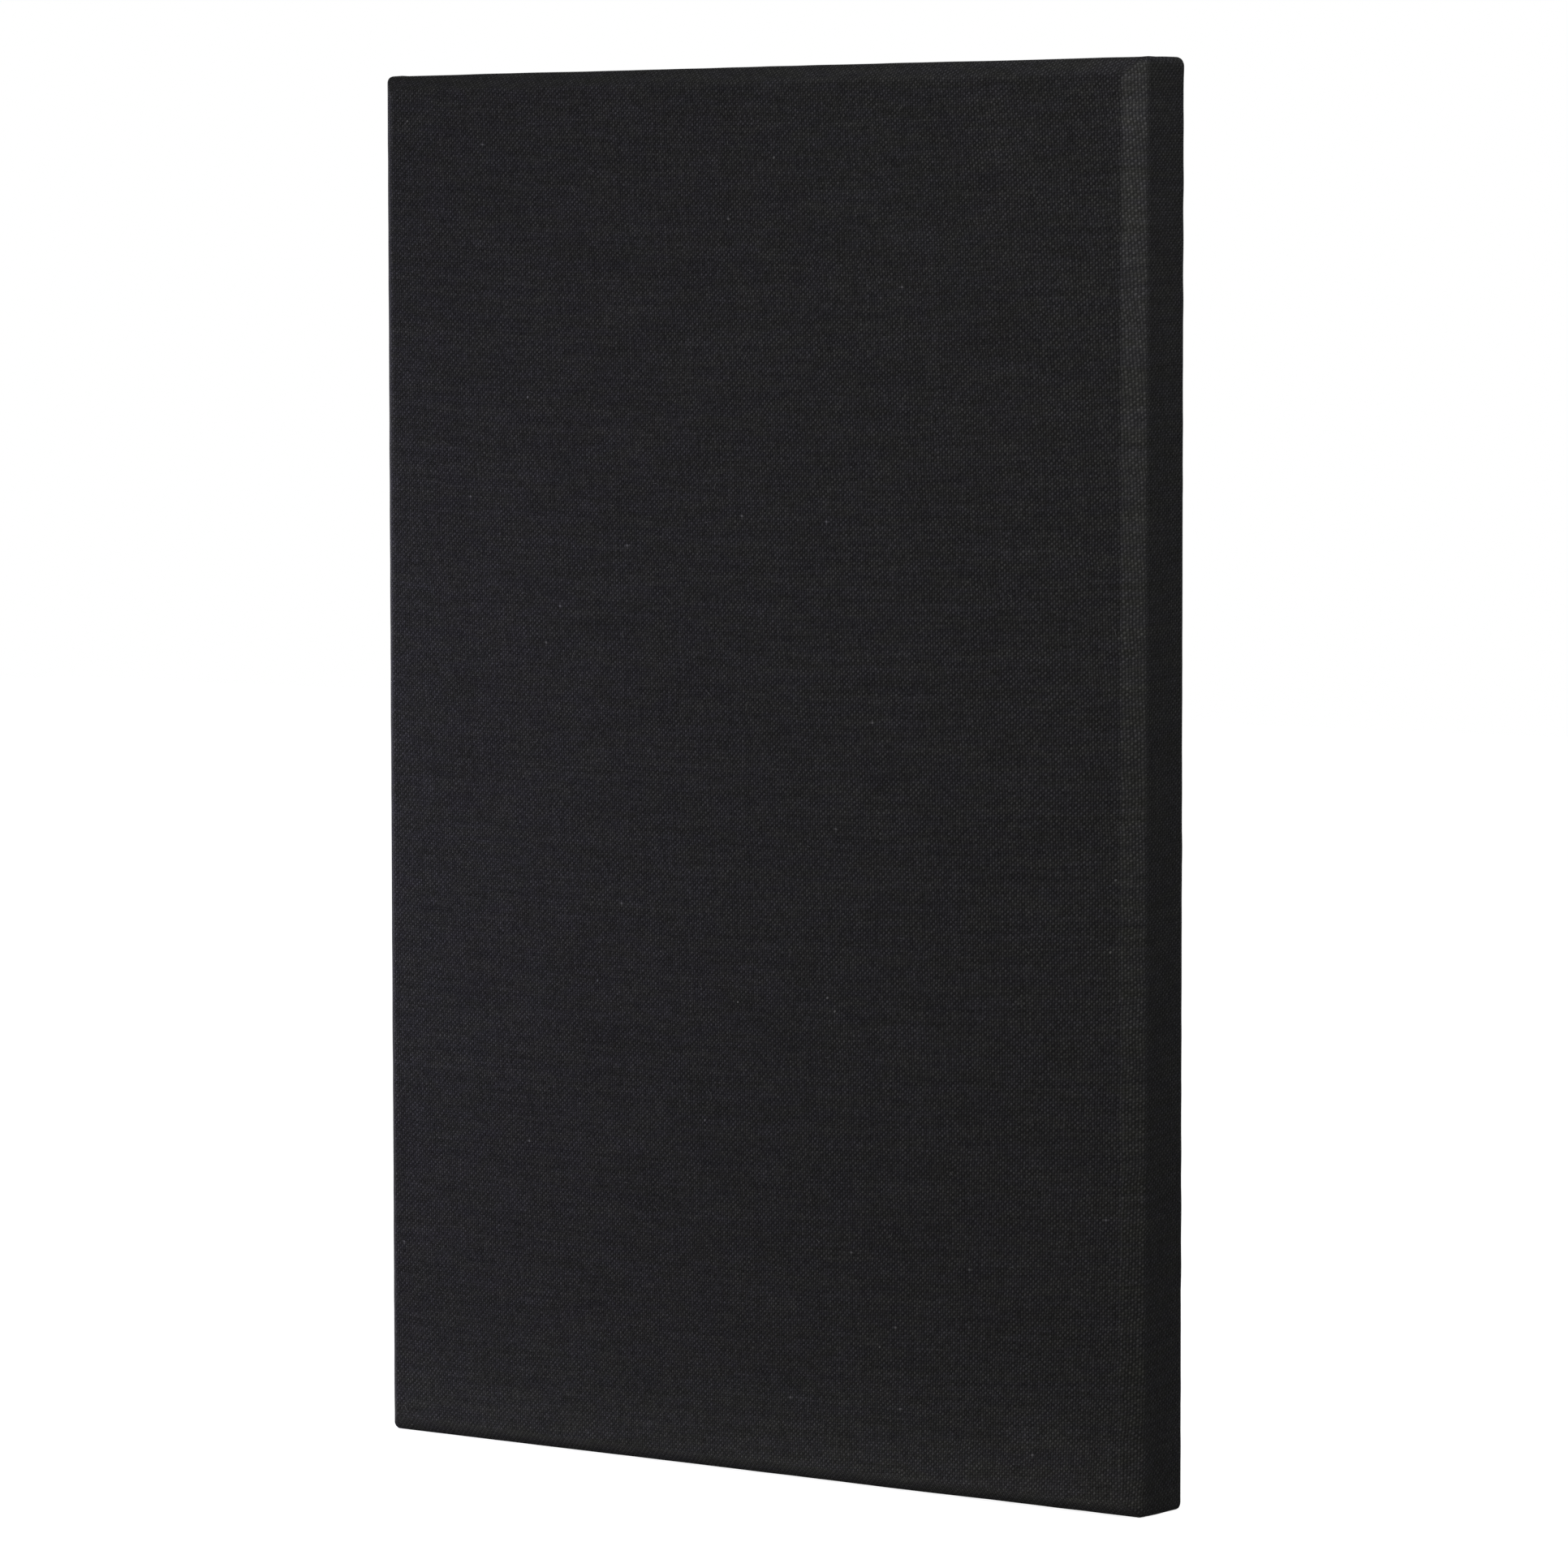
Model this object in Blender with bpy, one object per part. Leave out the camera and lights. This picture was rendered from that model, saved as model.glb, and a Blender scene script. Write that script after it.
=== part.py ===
"""Acoustic wall panel: a timber frame with a mineral wool core, wrapped in woven cloth.

Units are metres. +Z is up, the front face looks along -Y and +X is the viewer's right.
The origin is at the middle of the panel's footprint, on the surface that it stands on.
"""

import math

import bmesh
import bpy
from mathutils import Vector

# Outside of the wrapped panel
PANEL_WIDTH = 0.610
PANEL_HEIGHT = 0.914
PANEL_DEPTH = 0.054
FRONT_BEVEL = 0.010
ARRIS_RADIUS = 0.003
BACK_EDGE_RADIUS = 0.003
CORNER_RADIUS = 0.006

# Cloths
FABRIC_THICKNESS = 0.001
HEM_WIDTH = 0.024
DUST_CLOTH_THICKNESS = 0.0006
DUST_CLOTH_INSET = 0.005

# Absorber
FACING_THICKNESS = 0.0008

# Timber frame
FRAME_WIDTH = 0.025
JOINT_SCREW_PITCH = 0.013

# Corner plates, let into the back of the frame
PLATE_WIDTH = 0.016
PLATE_THICKNESS = 0.002
PLATE_HOLE_PITCH = 0.020
PLATE_END_MARGIN = 0.008
PLATE_SCREW_CLEARANCE = 0.006

# Strap hangers with their rings
HANGER_DROP = 0.150
HANGER_OFFSET = 0.0027
STRAP_WIDTH = 0.010
STRAP_THICKNESS = 0.0012
STRAP_END_MARGIN = 0.006
STRAP_HOLE_PITCH = 0.015
EYE_OPENING_DEGREES = 35.0
RING_WIRE_RADIUS = 0.00125
RING_ARM_LENGTH = 0.0065
RING_BEND_RADIUS = 0.0028
RING_SIDE_CLEARANCE = 0.0012
RING_TO_SCREW_CLEARANCE = 0.005

# Wall bumpers
BUMPER_RADIUS = 0.006
BUMPER_TOP_RADIUS = 0.005
BUMPER_EDGE_ROUND = 0.001
BUMPER_WALL_CLEARANCE = 0.0013

# Screws: the joint and plate screws are countersunk, the hanger screws have domed heads
JOINT_SCREW_LENGTH = 0.045
JOINT_SCREW_SHANK_RADIUS = 0.0020
JOINT_SCREW_HEAD_RADIUS = 0.0037
JOINT_SCREW_HEAD_HEIGHT = 0.0024
PLATE_SCREW_LENGTH = 0.0127
PLATE_SCREW_SHANK_RADIUS = 0.0016
PLATE_SCREW_HEAD_RADIUS = 0.0031
PLATE_SCREW_HEAD_HEIGHT = 0.0018
HANGER_SCREW_LENGTH = 0.019
HANGER_SCREW_SHANK_RADIUS = 0.0016
HANGER_SCREW_HEAD_RADIUS = 0.0032
HANGER_SCREW_HEAD_HEIGHT = 0.0020
SCREW_TIP_RADIUS = 0.0004
SCREW_TIP_LENGTH = 0.004
SCREW_HEAD_RIM = 0.0003
CROSS_SLOT_LENGTH = 0.0042
CROSS_SLOT_WIDTH = 0.0009
CROSS_SLOT_DEPTH = 0.0011

# Fits
SEAT_GAP = 0.0003
RUNNING_GAP = 0.0003
SMALLEST_RADIUS = 0.0004

# Smoothness of the round shapes
CORNER_SEGMENTS = 6
ARRIS_SEGMENTS = 3
BACK_EDGE_SEGMENTS = 3
SCREW_SIDES = 12
DOME_SEGMENTS = 3
BUMPER_SIDES = 24
BUMPER_ROUND_SEGMENTS = 3
EYE_SEGMENTS = 20
RING_ARC_SEGMENTS = 16
RING_BEND_SEGMENTS = 4
SHARP_ANGLE = math.radians(35.0)

# The eye rolled at a strap's upper end, and the bumpers that hold it off the wall
EYE_INNER_RADIUS = RING_WIRE_RADIUS + RUNNING_GAP
EYE_OUTER_RADIUS = EYE_INNER_RADIUS + STRAP_THICKNESS
BUMPER_HEIGHT = 2 * EYE_OUTER_RADIUS + BUMPER_WALL_CLEARANCE

# How far the bevel and the rounding of its two arrises reach along the front and along the side
ARRIS_REACH = math.tan(math.pi / 8)
BEVEL_REACH = FRONT_BEVEL + ARRIS_RADIUS * ARRIS_REACH

# Planes across the depth, from the front face back to the wall
TOTAL_DEPTH = PANEL_DEPTH + SEAT_GAP + DUST_CLOTH_THICKNESS + SEAT_GAP + BUMPER_HEIGHT
FRONT_Y = -TOTAL_DEPTH / 2
HEM_BACK_Y = FRONT_Y + PANEL_DEPTH
FRAME_FRONT_Y = FRONT_Y + FABRIC_THICKNESS + SEAT_GAP
FRAME_BACK_Y = HEM_BACK_Y - FABRIC_THICKNESS - SEAT_GAP
DUST_CLOTH_Y = HEM_BACK_Y + SEAT_GAP
HARDWARE_Y = DUST_CLOTH_Y + DUST_CLOTH_THICKNESS + SEAT_GAP

# Frame outline, inside the cloth
MIDDLE_Z = PANEL_HEIGHT / 2
FRAME_HALF_WIDTH = PANEL_WIDTH / 2 - FABRIC_THICKNESS - SEAT_GAP
FRAME_HALF_HEIGHT = PANEL_HEIGHT / 2 - FABRIC_THICKNESS - SEAT_GAP
STILE_INNER_X = FRAME_HALF_WIDTH - FRAME_WIDTH
RAIL_INNER_Z = FRAME_HALF_HEIGHT - FRAME_WIDTH
MEMBER_CENTRE = FRAME_WIDTH / 2
STILE_CENTRE_X = FRAME_HALF_WIDTH - MEMBER_CENTRE
RAIL_CENTRE_Z = FRAME_HALF_HEIGHT - MEMBER_CENTRE

# The rings' bars, and the strap's two holes, which lie below the hanging ring
RING_AXIS_Y = HARDWARE_Y + EYE_OUTER_RADIUS
RING_AXIS_Z = PANEL_HEIGHT - HANGER_DROP
RING_WIDTH = STRAP_WIDTH + 2 * (RING_SIDE_CLEARANCE + RING_BEND_RADIUS)
RING_REACH = RING_ARM_LENGTH + RING_WIDTH / 2 + RING_WIRE_RADIUS
HANGER_X = STILE_CENTRE_X - HANGER_OFFSET
UPPER_HOLE_DROP = RING_REACH + RING_TO_SCREW_CLEARANCE + HANGER_SCREW_HEAD_RADIUS
LOWER_HOLE_DROP = UPPER_HOLE_DROP + STRAP_HOLE_PITCH
STRAP_FOOT_Z = RING_AXIS_Z - LOWER_HOLE_DROP - STRAP_END_MARGIN


def remove_everything():
    """Empty the scene."""
    for item in list(bpy.data.objects):
        bpy.data.objects.remove(item, do_unlink=True)


def make_material(name, colour, roughness, metallic=0.0):
    """A Principled material with the finish of one kind of piece."""
    material = bpy.data.materials.new(name)
    material.use_nodes = True
    shader = material.node_tree.nodes["Principled BSDF"]
    shader.inputs["Base Color"].default_value = (*colour, 1.0)
    shader.inputs["Roughness"].default_value = roughness
    shader.inputs["Metallic"].default_value = metallic
    material.diffuse_color = (*colour, 1.0)
    return material


def make_object(name, bm, material=None, location=(0, 0, 0), rotation=(0, 0, 0)):
    """Turn a bmesh into a placed object, with its faces pointing out."""
    bmesh.ops.recalc_face_normals(bm, faces=bm.faces)
    mesh = bpy.data.meshes.new(name)
    bm.to_mesh(mesh)
    bm.free()
    mesh.shade_smooth()
    mesh.set_sharp_from_angle(angle=SHARP_ANGLE)
    item = bpy.data.objects.new(name, mesh)
    item.location = location
    item.rotation_euler = rotation
    bpy.context.scene.collection.objects.link(item)
    if material is not None:
        mesh.materials.append(material)
    return item


def mark_as_cutter(item):
    """Keep a cutting shape out of the model."""
    item.hide_render = True
    item.display_type = "WIRE"
    return item


def cut(item, cutter):
    """Add a cutter to the shapes that one exact Boolean takes away from an object."""
    modifier = item.modifiers.get("cuts")
    if modifier is None:
        modifier = item.modifiers.new("cuts", "BOOLEAN")
        modifier.operation = "DIFFERENCE"
        modifier.solver = "EXACT"
        modifier.operand_type = "COLLECTION"
        modifier.collection = bpy.data.collections.new("cutters_of_" + item.name)
    modifier.collection.objects.link(cutter)


def keep_inside(item, block):
    """Keep only what lies inside a block, with an exact Boolean."""
    modifier = item.modifiers.new("sawn", "BOOLEAN")
    modifier.operation = "INTERSECT"
    modifier.solver = "EXACT"
    modifier.object = block


def box_bmesh(low, high):
    """A box between two corners."""
    bm = bmesh.new()
    bmesh.ops.create_cube(bm, size=1.0)
    size = Vector(high) - Vector(low)
    centre = (Vector(high) + Vector(low)) / 2
    bmesh.ops.scale(bm, vec=size, verts=bm.verts)
    bmesh.ops.translate(bm, vec=centre, verts=bm.verts)
    return bm


def extruded_bmesh(outline, offset):
    """A prism: a closed outline of 3-D points, pushed along an offset."""
    bm = bmesh.new()
    face = bm.faces.new([bm.verts.new(point) for point in outline])
    pushed = bmesh.ops.extrude_face_region(bm, geom=[face])
    moved = [part for part in pushed["geom"] if isinstance(part, bmesh.types.BMVert)]
    bmesh.ops.translate(bm, vec=offset, verts=moved)
    return bm


def turned_bmesh(profile, sides):
    """A solid of revolution about Z, from (radius, z) points whose ends lie on the axis."""
    bm = bmesh.new()
    chain = [bm.verts.new((radius, 0.0, z)) for radius, z in profile]
    edges = [bm.edges.new(pair) for pair in zip(chain, chain[1:])]
    bmesh.ops.spin(bm, geom=chain + edges, axis=(0, 0, 1), cent=(0, 0, 0),
                   angle=math.tau, steps=sides, use_merge=True)
    bmesh.ops.remove_doubles(bm, verts=bm.verts, dist=1e-6)
    return bm


def rectangle_loop(inset, y, corner_radius):
    """A rounded rectangle round the panel at one depth, inset from the panel's outer size."""
    half_width = PANEL_WIDTH / 2 - inset
    half_height = PANEL_HEIGHT / 2 - inset
    radius = max(corner_radius, SMALLEST_RADIUS)
    points = []
    for quarter, (side_x, side_z) in enumerate(((1, 1), (-1, 1), (-1, -1), (1, -1))):
        centre_x = side_x * (half_width - radius)
        centre_z = MIDDLE_Z + side_z * (half_height - radius)
        for step in range(CORNER_SEGMENTS + 1):
            angle = math.pi / 2 * (quarter + step / CORNER_SEGMENTS)
            x = centre_x + radius * math.cos(angle)
            z = centre_z + radius * math.sin(angle)
            points.append((x, y, z))
    return points


def edge_profile(layer, back_inset):
    """The section from the front face, round the side, to the back, at a depth inside the cloth.

    layer is the distance in from the outer skin. Each entry is (inset, y): the two rounded arrises of the
    45 degree bevel, the side, the back arc, and the end of the back's flat at back_inset. An arris keeps
    its centre at every depth, so that the cloth is as thick on the bevel as on the front.
    """
    skin_radius = max(ARRIS_RADIUS, layer + SMALLEST_RADIUS)
    arris_radius = skin_radius - layer
    back_radius = max(BACK_EDGE_RADIUS - layer, SMALLEST_RADIUS)
    back_y = HEM_BACK_Y - layer
    reach = FRONT_BEVEL + skin_radius * ARRIS_REACH
    section = []
    for first_eighth, centre_inset, centre_y in ((0, reach, FRONT_Y + skin_radius),
                                                 (1, skin_radius, FRONT_Y + reach)):
        for step in range(ARRIS_SEGMENTS + 1):
            angle = math.pi / 4 * (first_eighth + step / ARRIS_SEGMENTS)
            inset = centre_inset - arris_radius * math.sin(angle)
            section.append((inset, centre_y - arris_radius * math.cos(angle)))
    for step in range(BACK_EDGE_SEGMENTS + 1):
        angle = math.pi / 2 * step / BACK_EDGE_SEGMENTS
        inset = layer + back_radius * (1 - math.cos(angle))
        section.append((inset, back_y - back_radius * (1 - math.sin(angle))))
    section.append((back_inset, back_y))
    return section


def swept_bmesh(section, closed):
    """Sweep a section of (inset, y) round the panel; an open one is capped at both ends."""
    bm = bmesh.new()
    loops = []
    for inset, y in section:
        points = rectangle_loop(inset, y, CORNER_RADIUS - inset)
        loops.append([bm.verts.new(point) for point in points])
    pairs = list(zip(loops, loops[1:]))
    if closed:
        pairs.append((loops[-1], loops[0]))
    for first, second in pairs:
        for index in range(len(first)):
            following = (index + 1) % len(first)
            bm.faces.new((first[index], first[following], second[following], second[index]))
    if not closed:
        bm.faces.new(loops[0])
        bm.faces.new(loops[-1])
    return bm


class Screw:
    """A wood screw that points down from z = 0, the plane that its head sits in or on."""

    def __init__(self, length, shank_radius, head_radius, head_height, countersunk):
        self.length = length
        self.shank_radius = shank_radius
        self.head_radius = head_radius
        self.head_height = head_height
        self.countersunk = countersunk

    def shank_profile(self, gap):
        """The shank's (radius, z) outline from its neck down to its tip, grown by a gap."""
        shank = self.shank_radius + gap
        end = -self.length - gap
        return [(shank, end + SCREW_TIP_LENGTH), (SCREW_TIP_RADIUS + gap, end), (0, end)]

    def profile(self):
        """The whole screw's outline."""
        if self.countersunk:
            return self.sunk_head_profile(0.0) + self.shank_profile(0.0)
        rise = self.head_height - SCREW_HEAD_RIM
        angles = [math.pi / 2 * (1 - step / DOME_SEGMENTS) for step in range(DOME_SEGMENTS + 1)]
        dome = [(self.head_radius * math.cos(angle), SCREW_HEAD_RIM + rise * math.sin(angle))
                for angle in angles]
        dome[0] = (0, self.head_height)
        return dome + [(self.head_radius, 0), (self.shank_radius, 0)] + self.shank_profile(0.0)

    def sunk_head_profile(self, gap):
        """A countersunk head's outline, grown by a gap."""
        edge = self.head_radius + gap
        return [(0, gap), (edge, gap), (edge, -SCREW_HEAD_RIM), (self.shank_radius + gap, -self.head_height)]

    def hole_profile(self):
        """The outline of the clearance that the screw needs in what it goes through."""
        if self.countersunk:
            return self.sunk_head_profile(SEAT_GAP) + self.shank_profile(SEAT_GAP)
        top = self.head_height
        return [(0, top), (self.shank_radius + SEAT_GAP, top)] + self.shank_profile(SEAT_GAP)


JOINT_SCREW = Screw(JOINT_SCREW_LENGTH, JOINT_SCREW_SHANK_RADIUS, JOINT_SCREW_HEAD_RADIUS,
                    JOINT_SCREW_HEAD_HEIGHT, countersunk=True)
PLATE_SCREW = Screw(PLATE_SCREW_LENGTH, PLATE_SCREW_SHANK_RADIUS, PLATE_SCREW_HEAD_RADIUS,
                    PLATE_SCREW_HEAD_HEIGHT, countersunk=True)
HANGER_SCREW = Screw(HANGER_SCREW_LENGTH, HANGER_SCREW_SHANK_RADIUS, HANGER_SCREW_HEAD_RADIUS,
                     HANGER_SCREW_HEAD_HEIGHT, countersunk=False)
HEAD_TO_BACK = (-math.pi / 2, 0, 0)


def make_screw(name, screw, material, location, rotation):
    """A screw at its place, and the clearance that it needs in what it goes through."""
    item = make_object(name, turned_bmesh(screw.profile(), SCREW_SIDES), material, location, rotation)
    hole = turned_bmesh(screw.hole_profile(), SCREW_SIDES)
    cutter = mark_as_cutter(make_object("cut_" + name, hole, None, location, rotation))
    return item, cutter


def make_frame(timber):
    """The four members, sawn from one ring so that the bevelled edge runs on round the corners."""
    layer = FABRIC_THICKNESS + SEAT_GAP
    inner = layer + FRAME_WIDTH
    section = [(inner, FRAME_FRONT_Y)] + edge_profile(layer, inner)
    far_x = PANEL_WIDTH
    far_z = PANEL_HEIGHT
    rail_x = STILE_INNER_X - SEAT_GAP
    low_y = FRONT_Y
    high_y = HEM_BACK_Y
    pieces = {
        "frame_left_stile": ((-far_x, low_y, -far_z), (-STILE_INNER_X, high_y, 2 * far_z)),
        "frame_right_stile": ((STILE_INNER_X, low_y, -far_z), (far_x, high_y, 2 * far_z)),
        "frame_bottom_rail": ((-rail_x, low_y, -far_z), (rail_x, high_y, MIDDLE_Z)),
        "frame_top_rail": ((-rail_x, low_y, MIDDLE_Z), (rail_x, high_y, 2 * far_z)),
    }
    members = {}
    for name, (low, high) in pieces.items():
        member = make_object(name, swept_bmesh(section, closed=True), timber)
        saw = mark_as_cutter(make_object("saw_" + name, box_bmesh(low, high)))
        keep_inside(member, saw)
        members[name] = member
    return members


def corner_names():
    """Each corner's name, with the signs of its X and of its Z from the panel's middle."""
    for side, sign_x in (("left", -1), ("right", 1)):
        for level, sign_z in (("bottom", -1), ("top", 1)):
            yield side, level, sign_x, sign_z


def make_joint_screws(members, steel):
    """Two screws through each stile end into the rail, clear of the bevelled edge and side by side."""
    middle_y = (FRONT_Y + BEVEL_REACH + FRAME_BACK_Y) / 2
    for side, level, sign_x, sign_z in corner_names():
        z = MIDDLE_Z + sign_z * RAIL_CENTRE_Z
        for number, offset in enumerate((-JOINT_SCREW_PITCH / 2, JOINT_SCREW_PITCH / 2), start=1):
            name = f"frame_joint_screw_{side}_{level}_{number}"
            place = (sign_x * FRAME_HALF_WIDTH, middle_y + offset, z)
            turn = (0, sign_x * math.pi / 2, 0)
            _, cutter = make_screw(name, JOINT_SCREW, steel, place, turn)
            cut(members[f"frame_{side}_stile"], cutter)
            cut(members[f"frame_{level}_rail"], cutter)


def plate_outline(sign_x, sign_z, growth):
    """An L whose legs lie on the centre lines of a stile and of a rail, grown all round."""
    near = MEMBER_CENTRE - PLATE_WIDTH / 2 - growth
    far = MEMBER_CENTRE + PLATE_WIDTH / 2 + growth
    tip = plate_hole_distances()[-1] + PLATE_END_MARGIN + growth
    steps = ((near, near), (tip, near), (tip, far), (far, far), (far, tip), (near, tip))
    return [(sign_x * (FRAME_HALF_WIDTH - across), MIDDLE_Z + sign_z * (FRAME_HALF_HEIGHT - along))
            for across, along in steps]


def plate_hole_distances():
    """How far a leg's two holes lie from the frame's corner: past the tips of the joint screws."""
    first = JOINT_SCREW_LENGTH + PLATE_SCREW_CLEARANCE
    return first, first + PLATE_HOLE_PITCH


def make_corner_plates(members, steel, screw_steel):
    """A flat L plate let into each corner of the frame's back, with four countersunk screws."""
    for side, level, sign_x, sign_z in corner_names():
        stile = members[f"frame_{side}_stile"]
        rail = members[f"frame_{level}_rail"]
        back = [(x, FRAME_BACK_Y, z) for x, z in plate_outline(sign_x, sign_z, 0.0)]
        plate = make_object(f"corner_plate_{level}_{side}",
                            extruded_bmesh(back, (0, -PLATE_THICKNESS, 0)), steel)
        depth = PLATE_THICKNESS + 2 * SEAT_GAP
        wide = [(x, FRAME_BACK_Y + SEAT_GAP, z) for x, z in plate_outline(sign_x, sign_z, SEAT_GAP)]
        recess = extruded_bmesh(wide, (0, -depth, 0))
        recess = mark_as_cutter(make_object(f"recess_{level}_{side}", recess))
        cut(stile, recess)
        cut(rail, recess)
        for number, distance in enumerate(plate_hole_distances(), start=1):
            on_stile = (MEMBER_CENTRE, distance)
            on_rail = (distance, MEMBER_CENTRE)
            for member, label, (across, along) in ((stile, "stile", on_stile), (rail, "rail", on_rail)):
                x = sign_x * (FRAME_HALF_WIDTH - across)
                z = MIDDLE_Z + sign_z * (FRAME_HALF_HEIGHT - along)
                name = f"corner_plate_screw_{level}_{side}_{label}_{number}"
                _, cutter = make_screw(name, PLATE_SCREW, screw_steel, (x, FRAME_BACK_Y, z), HEAD_TO_BACK)
                cut(plate, cutter)
                cut(member, cutter)


def make_absorber(wool, tissue):
    """The mineral wool slab that fills the frame, and the glass tissue on its front."""
    half_width = STILE_INNER_X - SEAT_GAP
    half_height = RAIL_INNER_Z - SEAT_GAP
    tissue_back = FRAME_FRONT_Y + FACING_THICKNESS
    low_z = MIDDLE_Z - half_height
    high_z = MIDDLE_Z + half_height
    make_object("absorber_facing",
                box_bmesh((-half_width, FRAME_FRONT_Y, low_z), (half_width, tissue_back, high_z)), tissue)
    core_front = tissue_back + SEAT_GAP
    make_object("absorber_core",
                box_bmesh((-half_width, core_front, low_z), (half_width, FRAME_BACK_Y, high_z)), wool)


def make_cover(cloth):
    """The cloth: a thin shell over the front, the bevelled edges and the sides, with a hem behind."""
    section = edge_profile(0.0, HEM_WIDTH) + edge_profile(FABRIC_THICKNESS, HEM_WIDTH)[::-1]
    return make_object("fabric_cover", swept_bmesh(section, closed=False), cloth)


def make_dust_cloth(cloth):
    """The thin cloth that closes the back, over the hem."""
    half_width = PANEL_WIDTH / 2 - DUST_CLOTH_INSET
    low = (-half_width, DUST_CLOTH_Y, DUST_CLOTH_INSET)
    high = (half_width, DUST_CLOTH_Y + DUST_CLOTH_THICKNESS, PANEL_HEIGHT - DUST_CLOTH_INSET)
    return make_object("dust_cloth", box_bmesh(low, high), cloth)


def strap_outline(x):
    """The strap from the side: a flat strip whose upper end rolls round the ring's bar.

    The roll's outer arc starts on the strip's panel side, goes up and over, and stops short of the strip
    on the room side by the opening angle. The inner arc comes back the same way.
    """
    outline = [(x, HARDWARE_Y + STRAP_THICKNESS, STRAP_FOOT_Z), (x, HARDWARE_Y, STRAP_FOOT_Z)]
    start = math.pi
    sweep = math.tau - math.radians(EYE_OPENING_DEGREES) - math.pi / 2
    angles = [start - sweep * step / EYE_SEGMENTS for step in range(EYE_SEGMENTS + 1)]
    for angle in angles:
        outline.append((x, RING_AXIS_Y + EYE_OUTER_RADIUS * math.cos(angle),
                        RING_AXIS_Z + EYE_OUTER_RADIUS * math.sin(angle)))
    for angle in reversed(angles):
        outline.append((x, RING_AXIS_Y + EYE_INNER_RADIUS * math.cos(angle),
                        RING_AXIS_Z + EYE_INNER_RADIUS * math.sin(angle)))
    return outline


def ring_points():
    """The ring's centre line in its own frame: the bar on the X axis, and the loop below it."""
    half = RING_WIDTH / 2
    bend = RING_BEND_RADIUS
    points = []
    for step in range(RING_BEND_SEGMENTS + 1):
        angle = math.pi / 2 * step / RING_BEND_SEGMENTS
        points.append((half - bend + bend * math.sin(angle), -bend + bend * math.cos(angle)))
    for step in range(RING_ARC_SEGMENTS + 1):
        angle = math.pi * step / RING_ARC_SEGMENTS
        points.append((half * math.cos(angle), -RING_ARM_LENGTH - half * math.sin(angle)))
    for step in range(RING_BEND_SEGMENTS + 1):
        angle = math.pi / 2 * step / RING_BEND_SEGMENTS
        points.append((-half + bend - bend * math.cos(angle), -bend + bend * math.sin(angle)))
    return points


def make_ring(name, steel, location):
    """A wire ring whose origin is on the middle of its bar, which is its hinge."""
    curve = bpy.data.curves.new(name, "CURVE")
    curve.dimensions = "3D"
    curve.bevel_depth = RING_WIRE_RADIUS
    curve.bevel_resolution = 4
    curve.resolution_u = 1
    curve.materials.append(steel)
    points = ring_points()
    spline = curve.splines.new("POLY")
    spline.points.add(len(points) - 1)
    for point, (x, z) in zip(spline.points, points):
        point.co = (x, 0.0, z, 1.0)
    spline.use_cyclic_u = True
    spline.use_smooth = True
    item = bpy.data.objects.new(name, curve)
    item.location = location
    bpy.context.scene.collection.objects.link(item)
    return item


def cut_cross_slot(item):
    """A cross slot in a screw's head, cut by two crossed blades."""
    long = CROSS_SLOT_LENGTH / 2
    thin = CROSS_SLOT_WIDTH / 2
    top = HANGER_SCREW_HEAD_HEIGHT
    for number, (reach_x, reach_y) in enumerate(((long, thin), (thin, long)), start=1):
        blade = box_bmesh((-reach_x, -reach_y, top - CROSS_SLOT_DEPTH), (reach_x, reach_y, 2 * top))
        blade = make_object(f"slot_{number}_{item.name}", blade, None, item.location, item.rotation_euler)
        cut(item, mark_as_cutter(blade))


def make_hangers(members, cloths, steel, screw_steel):
    """A strap hanger with a swinging ring on each stile's back."""
    for side, sign_x in (("left", -1), ("right", 1)):
        x = sign_x * HANGER_X
        outline = strap_outline(x - STRAP_WIDTH / 2)
        strap = make_object(f"hanger_plate_{side}", extruded_bmesh(outline, (STRAP_WIDTH, 0, 0)), steel)
        head_y = HARDWARE_Y + STRAP_THICKNESS + SEAT_GAP
        for number, drop in enumerate((UPPER_HOLE_DROP, LOWER_HOLE_DROP), start=1):
            place = (x, head_y, RING_AXIS_Z - drop)
            screw, cutter = make_screw(f"hanger_screw_{side}_{number}", HANGER_SCREW, screw_steel, place,
                                       HEAD_TO_BACK)
            cut_cross_slot(screw)
            for item in (strap, members[f"frame_{side}_stile"], *cloths):
                cut(item, cutter)
        make_ring(f"hanger_ring_{side}", steel, (x, RING_AXIS_Y, RING_AXIS_Z))


def make_bumpers(rubber):
    """A rubber button on each corner of the back, on the frame's centre lines."""
    profile = [(0, 0), (BUMPER_RADIUS, 0)]
    for step in range(BUMPER_ROUND_SEGMENTS + 1):
        angle = math.pi / 2 * step / BUMPER_ROUND_SEGMENTS
        profile.append((BUMPER_TOP_RADIUS - BUMPER_EDGE_ROUND * (1 - math.cos(angle)),
                        BUMPER_HEIGHT - BUMPER_EDGE_ROUND * (1 - math.sin(angle))))
    profile.append((0, BUMPER_HEIGHT))
    for side, level, sign_x, sign_z in corner_names():
        place = (sign_x * STILE_CENTRE_X, HARDWARE_Y, MIDDLE_Z + sign_z * RAIL_CENTRE_Z)
        make_object(f"wall_bumper_{level}_{side}", turned_bmesh(profile, BUMPER_SIDES), rubber,
                    place, HEAD_TO_BACK)


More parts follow.
